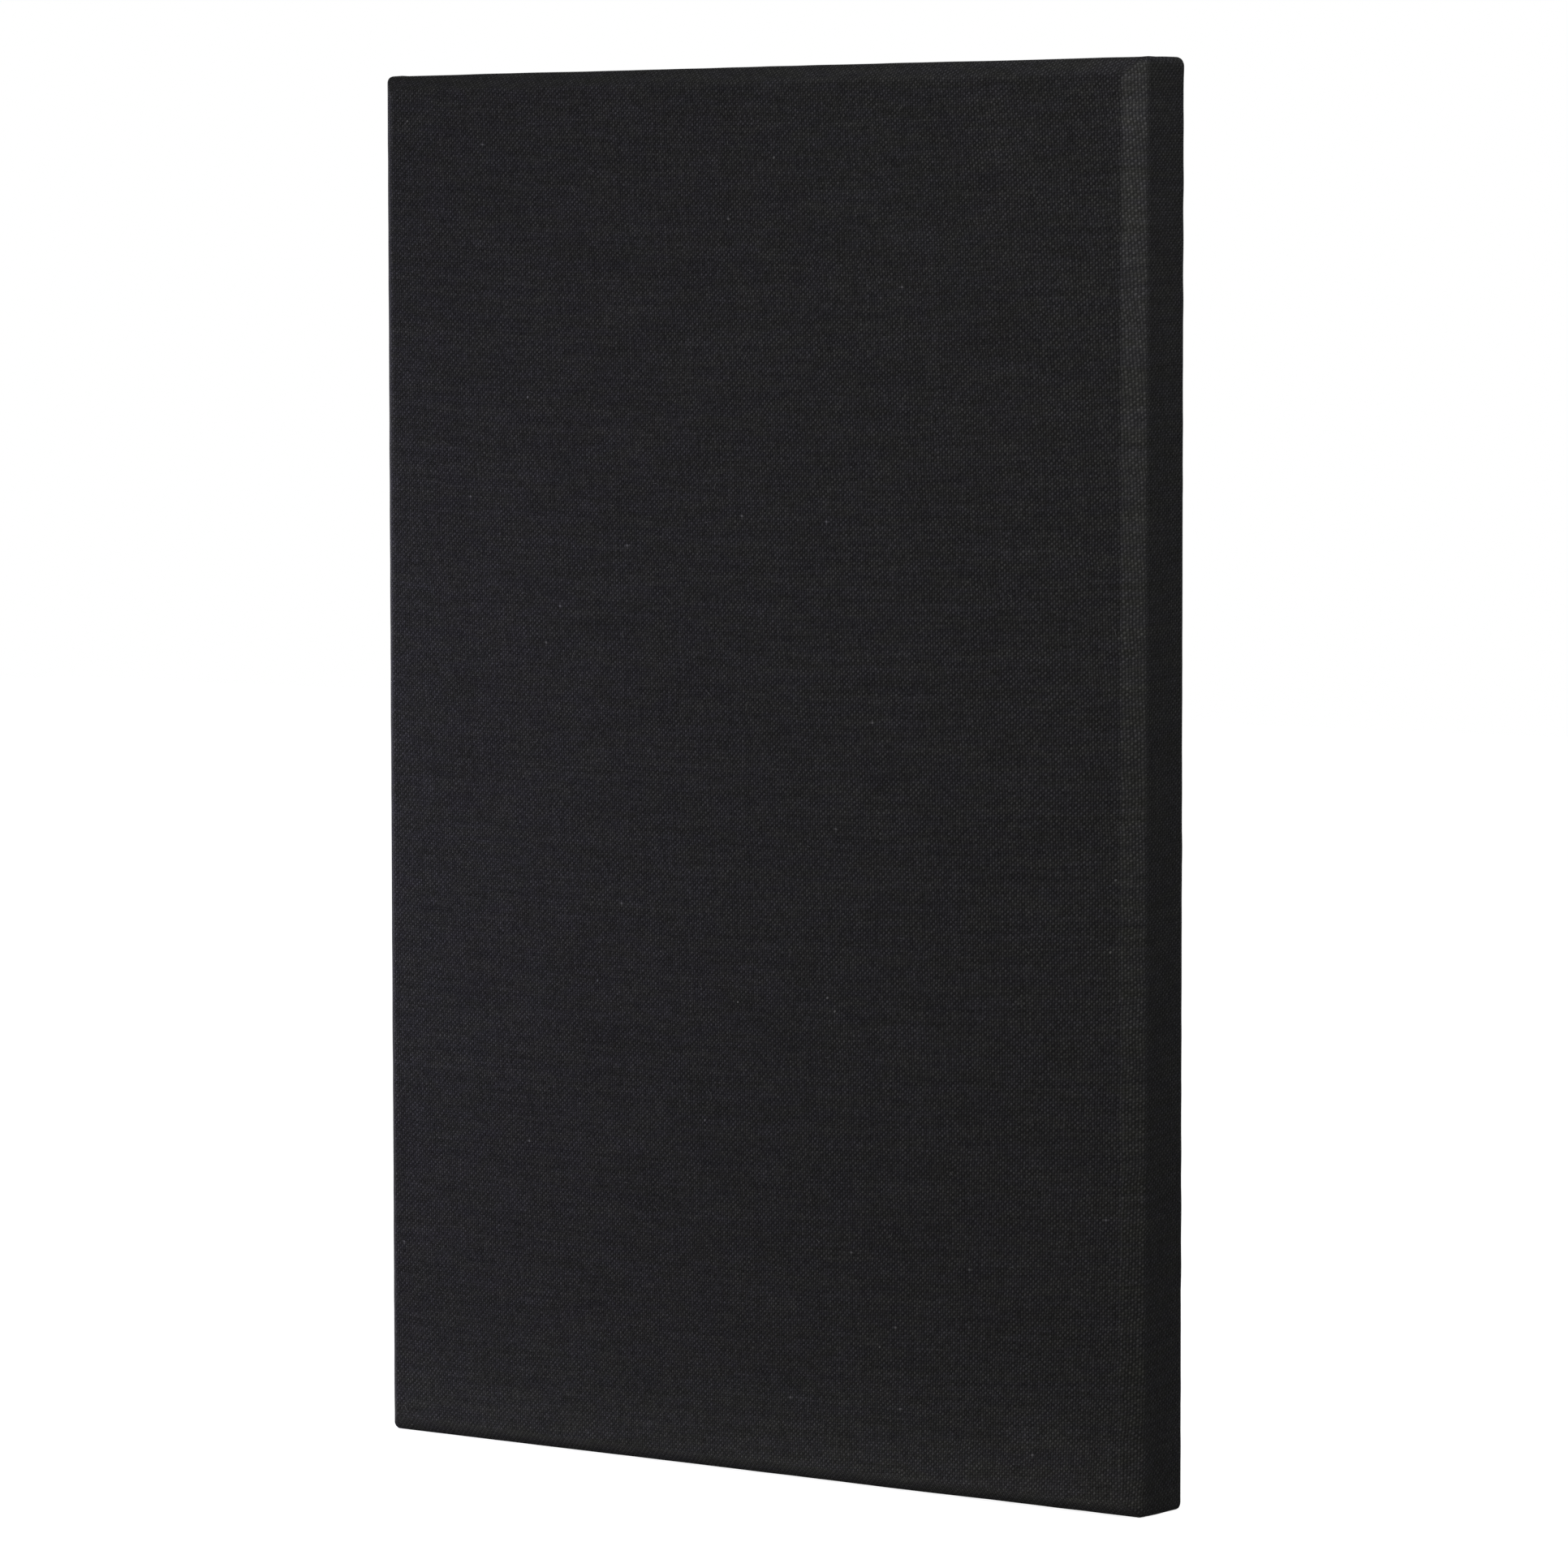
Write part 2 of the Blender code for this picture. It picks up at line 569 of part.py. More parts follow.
def main():
    """Build the panel from the inside out."""
    remove_everything()
    black_cloth = make_material("black_woven_cloth", (0.0185, 0.0185, 0.019), 0.9)
    back_cloth = make_material("black_dust_cloth", (0.012, 0.012, 0.012), 0.85)
    timber = make_material("planed_pine", (0.56, 0.38, 0.20), 0.62)
    wool = make_material("mineral_wool", (0.42, 0.38, 0.22), 0.95)
    tissue = make_material("black_glass_tissue", (0.02, 0.02, 0.02), 0.8)
    plate_steel = make_material("zinc_plated_plate", (0.62, 0.62, 0.60), 0.38, 1.0)
    screw_steel = make_material("zinc_plated_screw", (0.66, 0.64, 0.56), 0.32, 1.0)
    rubber = make_material("black_rubber", (0.015, 0.015, 0.016), 0.7)

    members = make_frame(timber)
    make_joint_screws(members, screw_steel)
    make_corner_plates(members, plate_steel, screw_steel)
    make_absorber(wool, tissue)
    cloths = (make_cover(black_cloth), make_dust_cloth(back_cloth))
    make_hangers(members, cloths, plate_steel, screw_steel)
    make_bumpers(rubber)


main()
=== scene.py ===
"""Dresses the acoustic panel: its wrapped cloth, its closed back and its hangers, in a white studio.

Metres, +Z up. The front face looks along -Y, +X is the viewer's right and the panel stands on z = 0.
"""

from __future__ import annotations

import logging
import math
from dataclasses import dataclass, field
from enum import Enum
from functools import reduce

import bpy
import numpy as np
from mathutils import Matrix, Vector

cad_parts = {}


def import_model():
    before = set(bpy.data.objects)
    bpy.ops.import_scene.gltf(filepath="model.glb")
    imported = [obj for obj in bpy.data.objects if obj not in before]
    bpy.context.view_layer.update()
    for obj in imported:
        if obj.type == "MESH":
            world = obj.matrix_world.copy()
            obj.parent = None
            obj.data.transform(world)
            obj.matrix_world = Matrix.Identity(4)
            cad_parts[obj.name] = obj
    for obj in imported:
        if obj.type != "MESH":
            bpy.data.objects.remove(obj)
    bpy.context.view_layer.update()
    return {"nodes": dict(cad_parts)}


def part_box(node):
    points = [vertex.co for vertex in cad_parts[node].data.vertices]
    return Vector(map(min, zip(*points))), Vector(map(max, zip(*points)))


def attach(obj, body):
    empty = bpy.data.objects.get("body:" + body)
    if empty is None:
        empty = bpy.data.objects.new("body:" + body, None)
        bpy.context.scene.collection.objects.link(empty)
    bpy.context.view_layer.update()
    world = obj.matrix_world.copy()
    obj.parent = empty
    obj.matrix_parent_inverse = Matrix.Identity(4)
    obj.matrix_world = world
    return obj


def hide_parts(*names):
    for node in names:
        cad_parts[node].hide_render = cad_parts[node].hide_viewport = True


LOG = logging.getLogger("acoustic_panel")
PHOTO_PIXELS = 1932
SENSOR_WIDTH = 36.0
MM = 0.001
ALONG_X = np.array([1.0, 0.0, 0.0])
ALONG_Y = np.array([0.0, 1.0, 0.0])

Array = np.ndarray
Triple = tuple[float, float, float]
Colour = Triple
Item = bpy.types.Object
Material = bpy.types.Material
Socket = bpy.types.NodeSocket
Value = "float | tuple | Socket"


class Body(Enum):
    """The rigid bodies that pieces ride on."""

    PANEL = "panel"
    RING_LEFT = "ring_left"
    RING_RIGHT = "ring_right"


class Side(Enum):
    """Left and right as the viewer in front sees them."""

    LEFT = "left"
    RIGHT = "right"


class Grain(Enum):
    """Which way a timber's grain runs, with the stretch of its figure along X, Y and Z."""

    X = (4.0, 60.0, 60.0)
    Z = (60.0, 60.0, 4.0)


# Surfaces


def unit(vectors: Array) -> Array:
    """Each vector divided by its own length."""
    return vectors / np.maximum(np.linalg.norm(vectors, axis=-1, keepdims=True), 1e-12)


def spots(x: Array, y: Array, z: Array) -> Array:
    """Points from their three numbers, each an array or one number for all."""
    return np.stack(np.broadcast_arrays(x, y, z), axis=-1)


def corners_of(node: str) -> Array:
    """The low and the high corner of a solid."""
    return np.array([list(corner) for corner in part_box(node)])


def smooth_step(value: Array, low: float, high: float) -> Array:
    """0 below low, 1 above high, and 3t^2 - 2t^3 between them, t being the share of the way.

    Args:
        value: the numbers to map.
        low: where the rise begins.
        high: where it ends.

    Returns:
        The mapped numbers, from 0 to 1.
    """
    share = np.clip((value - low) / (high - low), 0.0, 1.0)
    return share * share * (3.0 - 2.0 * share)


def grid_quads(rows: int, columns: int, wrap: bool = False) -> Array:
    """The quads between neighbouring points of a grid that is stored row by row.

    Args:
        rows: how many rows of points.
        columns: how many points in a row.
        wrap: whether the last column joins the first.

    Returns:
        Four point numbers for each quad.
    """
    index = np.arange(rows * columns).reshape(rows, columns)
    if wrap:
        index = np.concatenate([index, index[:, :1]], axis=1)
    return np.stack([index[:-1, :-1], index[:-1, 1:], index[1:, 1:], index[1:, :-1]], axis=-1).reshape(-1, 4)


@dataclass
class Surface:
    """Points joined by quads and end caps, with a UV pair for each corner where a finish follows it."""

    points: Array
    quads: Array
    caps: list[list[int]] = field(default_factory=list)
    uv: Array | None = None

    @staticmethod
    def joined(surfaces: list[Surface]) -> Surface:
        """Several surfaces as one, with their point numbers moved up.

        Args:
            surfaces: the surfaces, all with UV pairs or all without.

        Returns:
            One surface of them all.
        """
        starts = np.cumsum([0] + [len(surface.points) for surface in surfaces])
        caps = [[number + int(start) for number in cap]
                for surface, start in zip(surfaces, starts) for cap in surface.caps]
        uv = None if surfaces[0].uv is None else np.concatenate([surface.uv for surface in surfaces])
        return Surface(np.concatenate([surface.points for surface in surfaces]),
                       np.concatenate([surface.quads + start for surface, start in zip(surfaces, starts)]),
                       caps, uv)

    def welded(self) -> Surface:
        """The surface with points that share a place to a thousandth of a millimetre made one."""
        _, first, number = np.unique(np.round(self.points / (0.001 * MM)).astype(np.int64), axis=0,
                                     return_index=True, return_inverse=True)
        return Surface(self.points[first], number.reshape(-1)[self.quads], self.caps, self.uv)

    def corners(self, centre: Array | float = 0.0) -> list[Array]:
        """The quads' four corners, seen from a centre."""
        return [self.points[self.quads[:, corner]] - centre for corner in range(4)]

    def crossed(self) -> Array:
        """Each quad's crossed diagonals: its normal, as long as twice its area."""
        a, b, c, d = self.corners()
        return np.cross(c - a, d - b)

    def normals(self) -> Array:
        """The unit normal at each point: the sum of its quads' crossed diagonals."""
        total, crossed = np.zeros_like(self.points), self.crossed()
        for corner in range(4):
            np.add.at(total, self.quads[:, corner], crossed)
        return unit(total)

    def flipped(self) -> Surface:
        """The surface wound the other way."""
        uv = None if self.uv is None else self.uv[:, ::-1]
        return Surface(self.points, self.quads[:, ::-1], [cap[::-1] for cap in self.caps], uv)

    def facing_out(self) -> Surface:
        """The surface wound so that the volume it bounds, seen from its middle, is positive."""
        a, b, c, d = self.corners(self.points.mean(axis=0))
        volume = (a * np.cross(b, c)).sum() + (a * np.cross(c, d)).sum()
        return self.flipped() if volume < 0 else self

    def piece(self, name: str, finish: Material, body: Body, slot: str | None = None,
              stands_for: tuple[str, ...] = (), sharp: float = 40.0) -> Item:
        """Make the surface a piece that rides on a body.

        Args:
            name: the piece's name.
            finish: its material.
            body: what it rides on.
            slot: a material slot's name for its finish; not used.
            stands_for: the solids that it replaces.
            sharp: the angle in degrees from which an edge is sharp.

        Returns:
            The new object, at the origin.
        """
        mesh = bpy.data.meshes.new(name)
        mesh.from_pydata(self.points.tolist(), [], self.quads.tolist() + self.caps)
        if self.uv is not None:
            layer = mesh.uv_layers.new(name="cloth")
            layer.data.foreach_set("uv", self.uv.reshape(-1).astype(np.float32))
        mesh.materials.append(finish)
        mesh.shade_smooth()
        mesh.set_sharp_from_angle(angle=math.radians(sharp))
        item = bpy.data.objects.new(name, mesh)
        bpy.context.scene.collection.objects.link(item)
        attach(item, body.value)
        if stands_for:
            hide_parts(*stands_for)
        LOG.info("%s: %d faces on %s", name, len(mesh.polygons), body.value)
        return item


def tube(rings: Array) -> Surface:
    """Rings of points, each joined to the next and the end ones capped, facing out."""
    rows, columns = rings.shape[:2]
    last = (rows - 1) * columns
    caps = [list(range(columns))[::-1], list(range(last, last + columns))]
    return Surface(rings.reshape(-1, 3), grid_quads(rows, columns, wrap=True), caps).facing_out()


def carried(path: Array, across: Array, section: Array, closed: bool = False,
            swell: Array | float = 1.0) -> Surface:
    """A closed section carried along a path.

    A section point (a, b) at a path point goes to path + a * side + b * lift, where side is the unit
    vector along across, and lift is the unit vector square to side and to the path.

    Args:
        path: the path's points.
        across: the direction that the section's first number runs in.
        section: the (a, b) pairs round the section.
        closed: whether the path ends where it begins.
        swell: how much wider the section's first number is at each path point.

    Returns:
        The surface, capped at both ends unless the path is closed.
    """
    along = np.roll(path, -1, axis=0) - np.roll(path, 1, axis=0) if closed else np.gradient(path, axis=0)
    side = unit(np.broadcast_to(across, path.shape))
    lift = unit(np.cross(side, unit(along)))
    wide = np.broadcast_to(swell, len(path))[:, None] * side
    rings = path[:, None] + section[None, :, :1] * wide[:, None] + section[None, :, 1:] * lift[:, None]
    if not closed:
        return tube(rings)
    quads = grid_quads(len(path) + 1, len(section), wrap=True)
    return Surface(np.concatenate([rings, rings[:1]]).reshape(-1, 3), quads).welded().facing_out()


def round_section(radius: float, sides: int) -> Array:
    """A circle's (a, b) pairs: (radius cos t, radius sin t)."""
    angle = np.linspace(0.0, math.tau, sides, endpoint=False)
    return radius * np.stack([np.cos(angle), np.sin(angle)], axis=-1)


def soft_box_section(width: float, height: float, radius: float, steps: int = 3) -> Array:
    """A rectangle with rounded corners: a quarter circle of the radius about each inner corner.

    Args:
        width: its size across.
        height: its size along the lift.
        radius: the corners' radius.
        steps: how many steps a corner has.

    Returns:
        The (a, b) pairs round it.
    """
    parts = []
    for turn, signs in enumerate(((1, 1), (-1, 1), (-1, -1), (1, -1))):
        angle = np.linspace(0.0, math.pi / 2, steps + 1) + turn * math.pi / 2
        middle = np.array(signs) * (np.array([width, height]) / 2 - radius)
        parts.append(middle + radius * np.stack([np.cos(angle), np.sin(angle)], axis=-1))
    return np.concatenate(parts)


class Ripples:
    """A smooth random field: a sum of plane waves of random direction, phase and wavelength."""

    def __init__(self, seed: int, shortest: float, longest: float, waves: int = 24) -> None:
        """Draw the waves.

        Args:
            seed: fixes the draw.
            shortest: the shortest wavelength, in metres.
            longest: the longest.
            waves: how many are summed.
        """
        draw = np.random.default_rng(seed)
        length = shortest * (longest / shortest) ** draw.random(waves)
        self.wave = unit(draw.normal(size=(waves, 3))) * (math.tau / length)[:, None]
        self.phase = draw.random(waves) * math.tau

    def at(self, points: Array) -> Array:
        """The field at some points, about 1 in root mean square."""
        waves = np.sin(points @ self.wave.T + self.phase)
        return waves.sum(axis=-1) * math.sqrt(2.0 / len(self.phase))


# Finishes


class Nodes:
    """Writes the nodes of a material or a world, with sums written as method calls."""

    def __init__(self, owner: Material | bpy.types.World, **shader: float) -> None:
        """Start on a material or a world.

        Args:
            owner: what the nodes belong to.
            **shader: values for a material's Principled sockets, with underscores for spaces.
        """
        owner.use_nodes = True
        self.owner, self.tree = owner, owner.node_tree
        for word, value in shader.items():
            self.shader(word.replace("_", " ")).default_value = value

    def shader(self, word: str) -> Socket:
        """An input of the material's Principled shader."""
        return self.tree.nodes["Principled BSDF"].inputs[word]

    def put(self, socket: Socket, value: Value) -> None:
        """Link a socket to another, or set its value."""
        if isinstance(value, Socket):
            self.tree.links.new(value, socket)
        else:
            socket.default_value = value

    def node(self, kind: str, inputs: dict[str | int, Value], **settings: str | bool | int) -> bpy.types.Node:
        """Add a node.

        Args:
            kind: its type's name without the ShaderNode in front.
            inputs: values or sockets for its inputs, by name or number.
            **settings: the node's own settings.

        Returns:
            The node.
        """
        node = self.tree.nodes.new("ShaderNode" + kind)
        for word, value in settings.items():
            setattr(node, word, value)
        for key, value in inputs.items():
            self.put(node.inputs[key], value)
        return node

    def sum(self, operation: str, *values: Value) -> Socket:
        """One step of arithmetic on numbers."""
        return self.node("Math", dict(enumerate(values)), operation=operation).outputs[0]

    def plus(self, *values: Value) -> Socket:
        """The total of some numbers."""
        return reduce(lambda total, value: self.sum("ADD", total, value), values)

    def minus(self, value: Value, less: Value) -> Socket:
        """The first number less the second."""
        return self.sum("SUBTRACT", value, less)

    def times(self, *values: Value) -> Socket:
        """The product of some numbers."""
        return reduce(lambda product, value: self.sum("MULTIPLY", product, value), values)

    def between(self, share: Value, low: Value, high: Value) -> Socket:
        """low + share * (high - low)."""
        return self.node("Mix", {0: share, 2: low, 3: high}, data_type="FLOAT").outputs[0]

    def rise(self, value: Value, low: float, high: float, start: float = 0.0, end: float = 1.0) -> Socket:
        """A smooth step from start to end as value goes from low to high."""
        ends = {0: value, 1: low, 2: high, 3: start, 4: end}
        return self.node("MapRange", ends, interpolation_type="SMOOTHSTEP").outputs[0]

    def place(self) -> Socket:
        """The piece's own coordinates, in metres."""
        return self.node("TexCoord", {}).outputs["Object"]

    def parts(self, vector: Socket) -> list[Socket]:
        """A vector's three numbers."""
        return list(self.node("SeparateXYZ", {0: vector}).outputs)

    def scaled(self, vector: Socket, *scale: float) -> Socket:
        """A vector with each part multiplied by its own number."""
        return self.node("Mapping", {0: vector, 3: scale}).outputs[0]

    def noise(self, vector: Socket, scale: float, detail: float = 2.0, output: str = "Fac") -> Socket:
        """Smooth noise from 0 to 1, or three of them as a Color."""
        inputs = {"Vector": vector, "Scale": scale, "Detail": detail}
        return self.node("TexNoise", inputs).outputs[output]

    def stretched(self, vector: Socket, across: float, up: float, detail: float = 2.0) -> Socket:
        """Smooth noise that is finer one way than the other."""
        return self.noise(self.scaled(vector, across, up, 1.0), 1.0, detail)

    def draw(self, *numbers: Value) -> Socket:
        """A random number for each set of whole numbers."""
        vector = self.node("CombineXYZ", dict(enumerate(numbers))).outputs[0]
        return self.node("TexWhiteNoise", {"Vector": vector}, noise_dimensions="3D").outputs["Value"]

    def tinted(self, value: Value, tint: Value) -> Socket:
        """A colour: a number times a tint."""
        return self.node("VectorMath", {0: tint, 3: value}, operation="SCALE").outputs[0]

    def colours(self, share: Value, low: Colour, high: Colour) -> Socket:
        """A colour between two."""
        inputs = {0: share, 6: (*low, 1.0), 7: (*high, 1.0)}
        return self.node("Mix", inputs, data_type="RGBA").outputs[2]

    def seen_directly(self) -> Socket:
        """1 for a ray from the camera, off a mirror or through glass, and 0 for the rest."""
        rays = self.node("LightPath", {}).outputs
        return reduce(lambda total, word: self.sum("MAXIMUM", total, rays[word]),
                      ("Is Glossy Ray", "Is Transmission Ray"), rays["Is Camera Ray"])

    def finish(self, colour: Socket, height: Socket | None = None, depth: float = 0.0,
               roughness: Socket | None = None) -> Material:
        """Join the shader up.

        Args:
            colour: the base colour.
            height: the relief, from 0 to 1.
            depth: the relief's full depth, in metres.
            roughness: the roughness where it varies.

        Returns:
            The material.
        """
        self.put(self.shader("Base Color"), colour)
        if height is not None:
            bump = self.node("Bump", {"Strength": 1.0, "Distance": depth, "Height": height})
            self.put(self.shader("Normal"), bump.outputs[0])
        if roughness is not None:
            self.put(self.shader("Roughness"), roughness)
        return self.owner


def material(name: str, **shader: float) -> Nodes:
    """The nodes of a new material with some of its Principled sockets set."""
    return Nodes(bpy.data.materials.new(name), **shader)


@dataclass(frozen=True)
class WovenCloth:
    """Coarse plain-woven acoustic cloth, on the piece's own map of the flat cloth in metres.

    u and v count warp and weft threads. Where the cell's column and row add up to an even number the
    warp lies on top. A thread's height is 0.5, plus or minus 0.5 sin(pi s)^0.7 at the share s along its
    float, less a crown of c (2 t - 1)^2 at the share t across it. What shows is the higher of the two.
    The warp is the narrower thread, and its floats lean a little with the twist of the yarn.
    The colour is painted shade in the gaps and a painted highlight on the crowns, brighter on the warp than on
    the weft.
    Along the bevel a painted highlight makes the cloth paler, and pale fuzz mixed in hides some of the weave.
    """

    warp_pitch: float = 1.85 * MM
    weft_pitch: float = 1.65 * MM
    wander: float = 1.6
    quiver: float = 0.45
    warp_crown: tuple[float, float] = (0.85, 1.35)
    weft_crown: tuple[float, float] = (0.30, 0.60)
    lean: float = 0.20
    relief: float = 0.26 * MM
    # The colours of painted shade between the threads and of painted highlights on the weft's and the warp's
    # crowns.
    gap: float = 0.0066
    weft: float = 0.0152
    warp: float = 0.0355
    # The pale colour, its share and the gain of the painted highlight along the bevel.
    fuzz_and_highlight: float = 0.036
    fuzz_and_highlight_share: float = 0.22
    edge_highlight: float = 0.74
    fleck: float = 0.06
    fleck_share: float = 0.0002
    crossing_swing: float = 0.28
    strand_swing: float = 0.30
    slub_swing: float = 0.20
    streak_swing: float = 0.30
    band_swing: float = 0.26
    blotch_swing: float = 0.16
    plain: Colour = (1.0, 1.0, 0.99)
    cool: Colour = (0.98, 0.965, 1.12)

    def threads(self, nodes: Nodes, cloth: Socket) -> tuple[Socket, Socket, Socket, Socket]:
        """Where a point lies in the weave, with the threads wandering a little.

        Args:
            nodes: the material.
            cloth: the cloth map's vector.

        Returns:
            The column and row of its cell, and the shares of the way across and up the cell.
        """
        wander = nodes.parts(nodes.noise(cloth, 38.0, 1.0, "Color"))
        quiver = nodes.parts(nodes.noise(cloth, 190.0, 1.0, "Color"))
        flat = nodes.parts(cloth)
        counts = [nodes.plus(nodes.times(flat[number], 1.0 / pitch), nodes.times(wander[number], self.wander),
                             nodes.times(quiver[number], self.quiver))
                  for number, pitch in enumerate((self.warp_pitch, self.weft_pitch))]
        return tuple(nodes.sum(part, count) for part in ("FLOOR", "FRACT") for count in counts)

    def heights(self, nodes: Nodes, cloth: Socket) -> tuple[Socket, Socket, Socket]:
        """The two threads' heights, by the class's formula.

        Args:
            nodes: the material.
            cloth: the cloth map's vector.

        Returns:
            The warp's height, the weft's, and a random number for each crossing.
        """
        column, row, across, up = self.threads(nodes, cloth)
        odd = nodes.sum("FLOORED_MODULO", nodes.plus(column, row), 2.0)
        over = nodes.minus(1.0, nodes.times(2.0, odd))
        leaning = nodes.minus(across, nodes.times(self.lean, nodes.plus(up, -0.5)))
        heights = []
        for share, other, sign, thread, crown in (
                (leaning, up, 0.5, nodes.draw(column, 3.0, 0.0), self.warp_crown),
                (up, across, -0.5, nodes.draw(row, 7.0, 5.0), self.weft_crown)):
            swell = nodes.sum("POWER", nodes.sum("SINE", nodes.times(other, math.pi)), 0.7)
            off = nodes.plus(nodes.times(2.0, share), -1.0)
            drop = nodes.times(nodes.between(thread, *crown), off, off)
            heights.append(nodes.minus(nodes.plus(nodes.times(over, sign, swell), 0.5), drop))
        return (*heights, nodes.draw(column, row, 11.0))

    def build(self) -> Material:
        """Make the material."""
        nodes = material("black_woven_cloth", Roughness=0.95, Specular_IOR_Level=0.05, Sheen_Weight=0.015,
                         Sheen_Roughness=0.5)
        cloth = nodes.node("UVMap", {}, uv_map="cloth").outputs[0]
        warp_height, weft_height, crossing = self.heights(nodes, cloth)
        height = nodes.sum("MAXIMUM", warp_height, weft_height)
        on_top = nodes.rise(nodes.minus(warp_height, weft_height), -0.08, 0.08)
        fibres = nodes.node("Mix", {0: on_top, 4: nodes.scaled(cloth, 900.0, 4200.0, 1.0),
                                    5: nodes.scaled(cloth, 4200.0, 900.0, 1.0)}, data_type="VECTOR")
        strands = nodes.noise(fibres.outputs[1], 1.0)
        slubs = nodes.stretched(cloth, 420.0, 60.0, 1.0)
        bands = nodes.stretched(cloth, 9.0, 190.0)
        swings = ((crossing, self.crossing_swing), (strands, self.strand_swing), (slubs, self.slub_swing),
                  (nodes.stretched(cloth, 30.0, 560.0), self.streak_swing), (bands, self.band_swing),
                  (nodes.stretched(cloth, 20.0, 44.0), self.blotch_swing))
        # Painted shade where a thread dips into a gap and a painted highlight where it crowns, by thread
        # height.
        lit = nodes.rise(height, 0.05, 0.95)
        value = nodes.times(nodes.between(lit, self.gap, nodes.between(on_top, self.weft, self.warp)),
                            *(nodes.between(share, 1.0 - swing, 1.0 + swing) for share, swing in swings))
        # The edge attribute is a painted highlight along the bevel, paler towards the top.
        edge = nodes.times(nodes.node("Attribute", {}, attribute_name="edge").outputs["Fac"],
                           nodes.rise(nodes.plus(bands, strands), 0.55, 1.25, 0.70, 1.30))
        value = nodes.times(value, nodes.plus(1.0, nodes.times(edge, self.edge_highlight)))
        value = nodes.between(nodes.times(edge, self.fuzz_and_highlight_share), value,
                              nodes.times(self.fuzz_and_highlight, nodes.plus(strands, 0.5)))
        fleck = nodes.times(nodes.sum("GREATER_THAN", crossing, 1.0 - self.fleck_share), self.fleck, lit)
        dye = nodes.rise(nodes.stretched(cloth, 36.0, 110.0), 0.36, 0.64)
        tint = nodes.colours(nodes.times(dye, nodes.between(lit, 1.0, 0.55)), self.plain, self.cool)
        relief = nodes.plus(height, nodes.times(strands, 0.25), nodes.times(slubs, 0.2))
        return nodes.finish(nodes.tinted(nodes.plus(value, fleck), tint), relief, self.relief)


@dataclass(frozen=True)
class PointBondedCloth:
    """Thin non-woven cloth: random fibres, pressed flat in a staggered grid of small bond points."""

    pitch: float = 1.3 * MM
    low: float = 0.006
    high: float = 0.030
    relief: float = 0.12 * MM

    def build(self) -> Material:
        """Make the material."""
        nodes = material("black_bonded_cloth", Roughness=0.78, Specular_IOR_Level=0.35, Sheen_Weight=0.04)
        x, _, z = nodes.parts(nodes.place())
        waves = [nodes.sum("SINE", nodes.times(nodes.plus(x, nodes.times(sign, z)), math.pi / self.pitch))
                 for sign in (1.0, -1.0)]
        bond = nodes.rise(nodes.times(*waves), 0.45, 0.75)
        fibres = nodes.noise(nodes.place(), 2600.0, 4.0)
        cloudy = nodes.noise(nodes.place(), 70.0, 3.0)
        share = nodes.times(fibres, nodes.between(cloudy, 0.5, 1.5))
        value = nodes.times(nodes.between(share, self.low, self.high), nodes.between(bond, 1.0, 1.5))
        height = nodes.minus(nodes.times(fibres, 0.6), nodes.times(bond, 0.6))
        return nodes.finish(nodes.tinted(value, (1.0, 1.0, 1.02)), height, self.relief,
                            nodes.between(bond, 0.82, 0.5))


@dataclass(frozen=True)
class ZincPlate:
    """Zinc-plated steel: a grey metal with cloudy crystals, fine drawn lines and dulled patches."""

    name: str
    dark: Colour
    light: Colour
    roughness: float
    lines: Triple = (900.0, 900.0, 60.0)
    relief: float = 0.02 * MM

    def build(self) -> Material:
        """Make the material."""
        nodes = material(self.name, Metallic=1.0)
        cloudy = nodes.noise(nodes.place(), 420.0, 4.0)
        drawn = nodes.noise(nodes.scaled(nodes.place(), *self.lines), 3.0, 3.0)
        dull = nodes.rise(nodes.noise(nodes.place(), 150.0, 5.0), 0.42, 0.66)
        share = nodes.plus(nodes.times(cloudy, 0.7), nodes.times(drawn, 0.3))
        roughness = nodes.plus(self.roughness - 0.08, nodes.times(dull, 0.16), nodes.times(drawn, 0.08))
        return nodes.finish(nodes.colours(share, self.dark, self.light), drawn, self.relief, roughness)


@dataclass(frozen=True)
class Rubber:
    """Moulded rubber: near black, finely pitted and a little dusty."""

    low: float = 0.010
    high: float = 0.024
    relief: float = 0.03 * MM

    def build(self) -> Material:
        """Make the material."""
        nodes = material("black_rubber", Specular_IOR_Level=0.45)
        dust = nodes.noise(nodes.place(), 700.0, 4.0)
        pits = nodes.noise(nodes.place(), 5200.0)
        value = nodes.between(dust, self.low, self.high)
        return nodes.finish(nodes.tinted(value, (1.0, 1.0, 1.03)), pits, self.relief,
                            nodes.between(dust, 0.55, 0.85))


@dataclass(frozen=True)
class PlanedPine:
    """Planed pine: growth rings stretched along the grain, with fine pores and a few darker streaks."""

    grain: Grain
    early: Colour = (0.66, 0.47, 0.27)
    late: Colour = (0.44, 0.25, 0.11)
    relief: float = 0.08 * MM

    def build(self) -> Material:
        """Make the material."""
        nodes = material("planed_pine_" + self.grain.name.lower(), Specular_IOR_Level=0.3)
        place = nodes.scaled(nodes.place(), *self.grain.value)
        late = nodes.rise(nodes.sum("SINE", nodes.times(nodes.noise(place, 0.8), 60.0)), 0.1, 0.95)
        pores = nodes.noise(place, 22.0, 3.0)
        share = nodes.plus(nodes.times(late, 0.65), nodes.times(pores, 0.35))
        return nodes.finish(nodes.colours(share, self.early, self.late), pores, self.relief,
                            nodes.between(late, 0.68, 0.54))


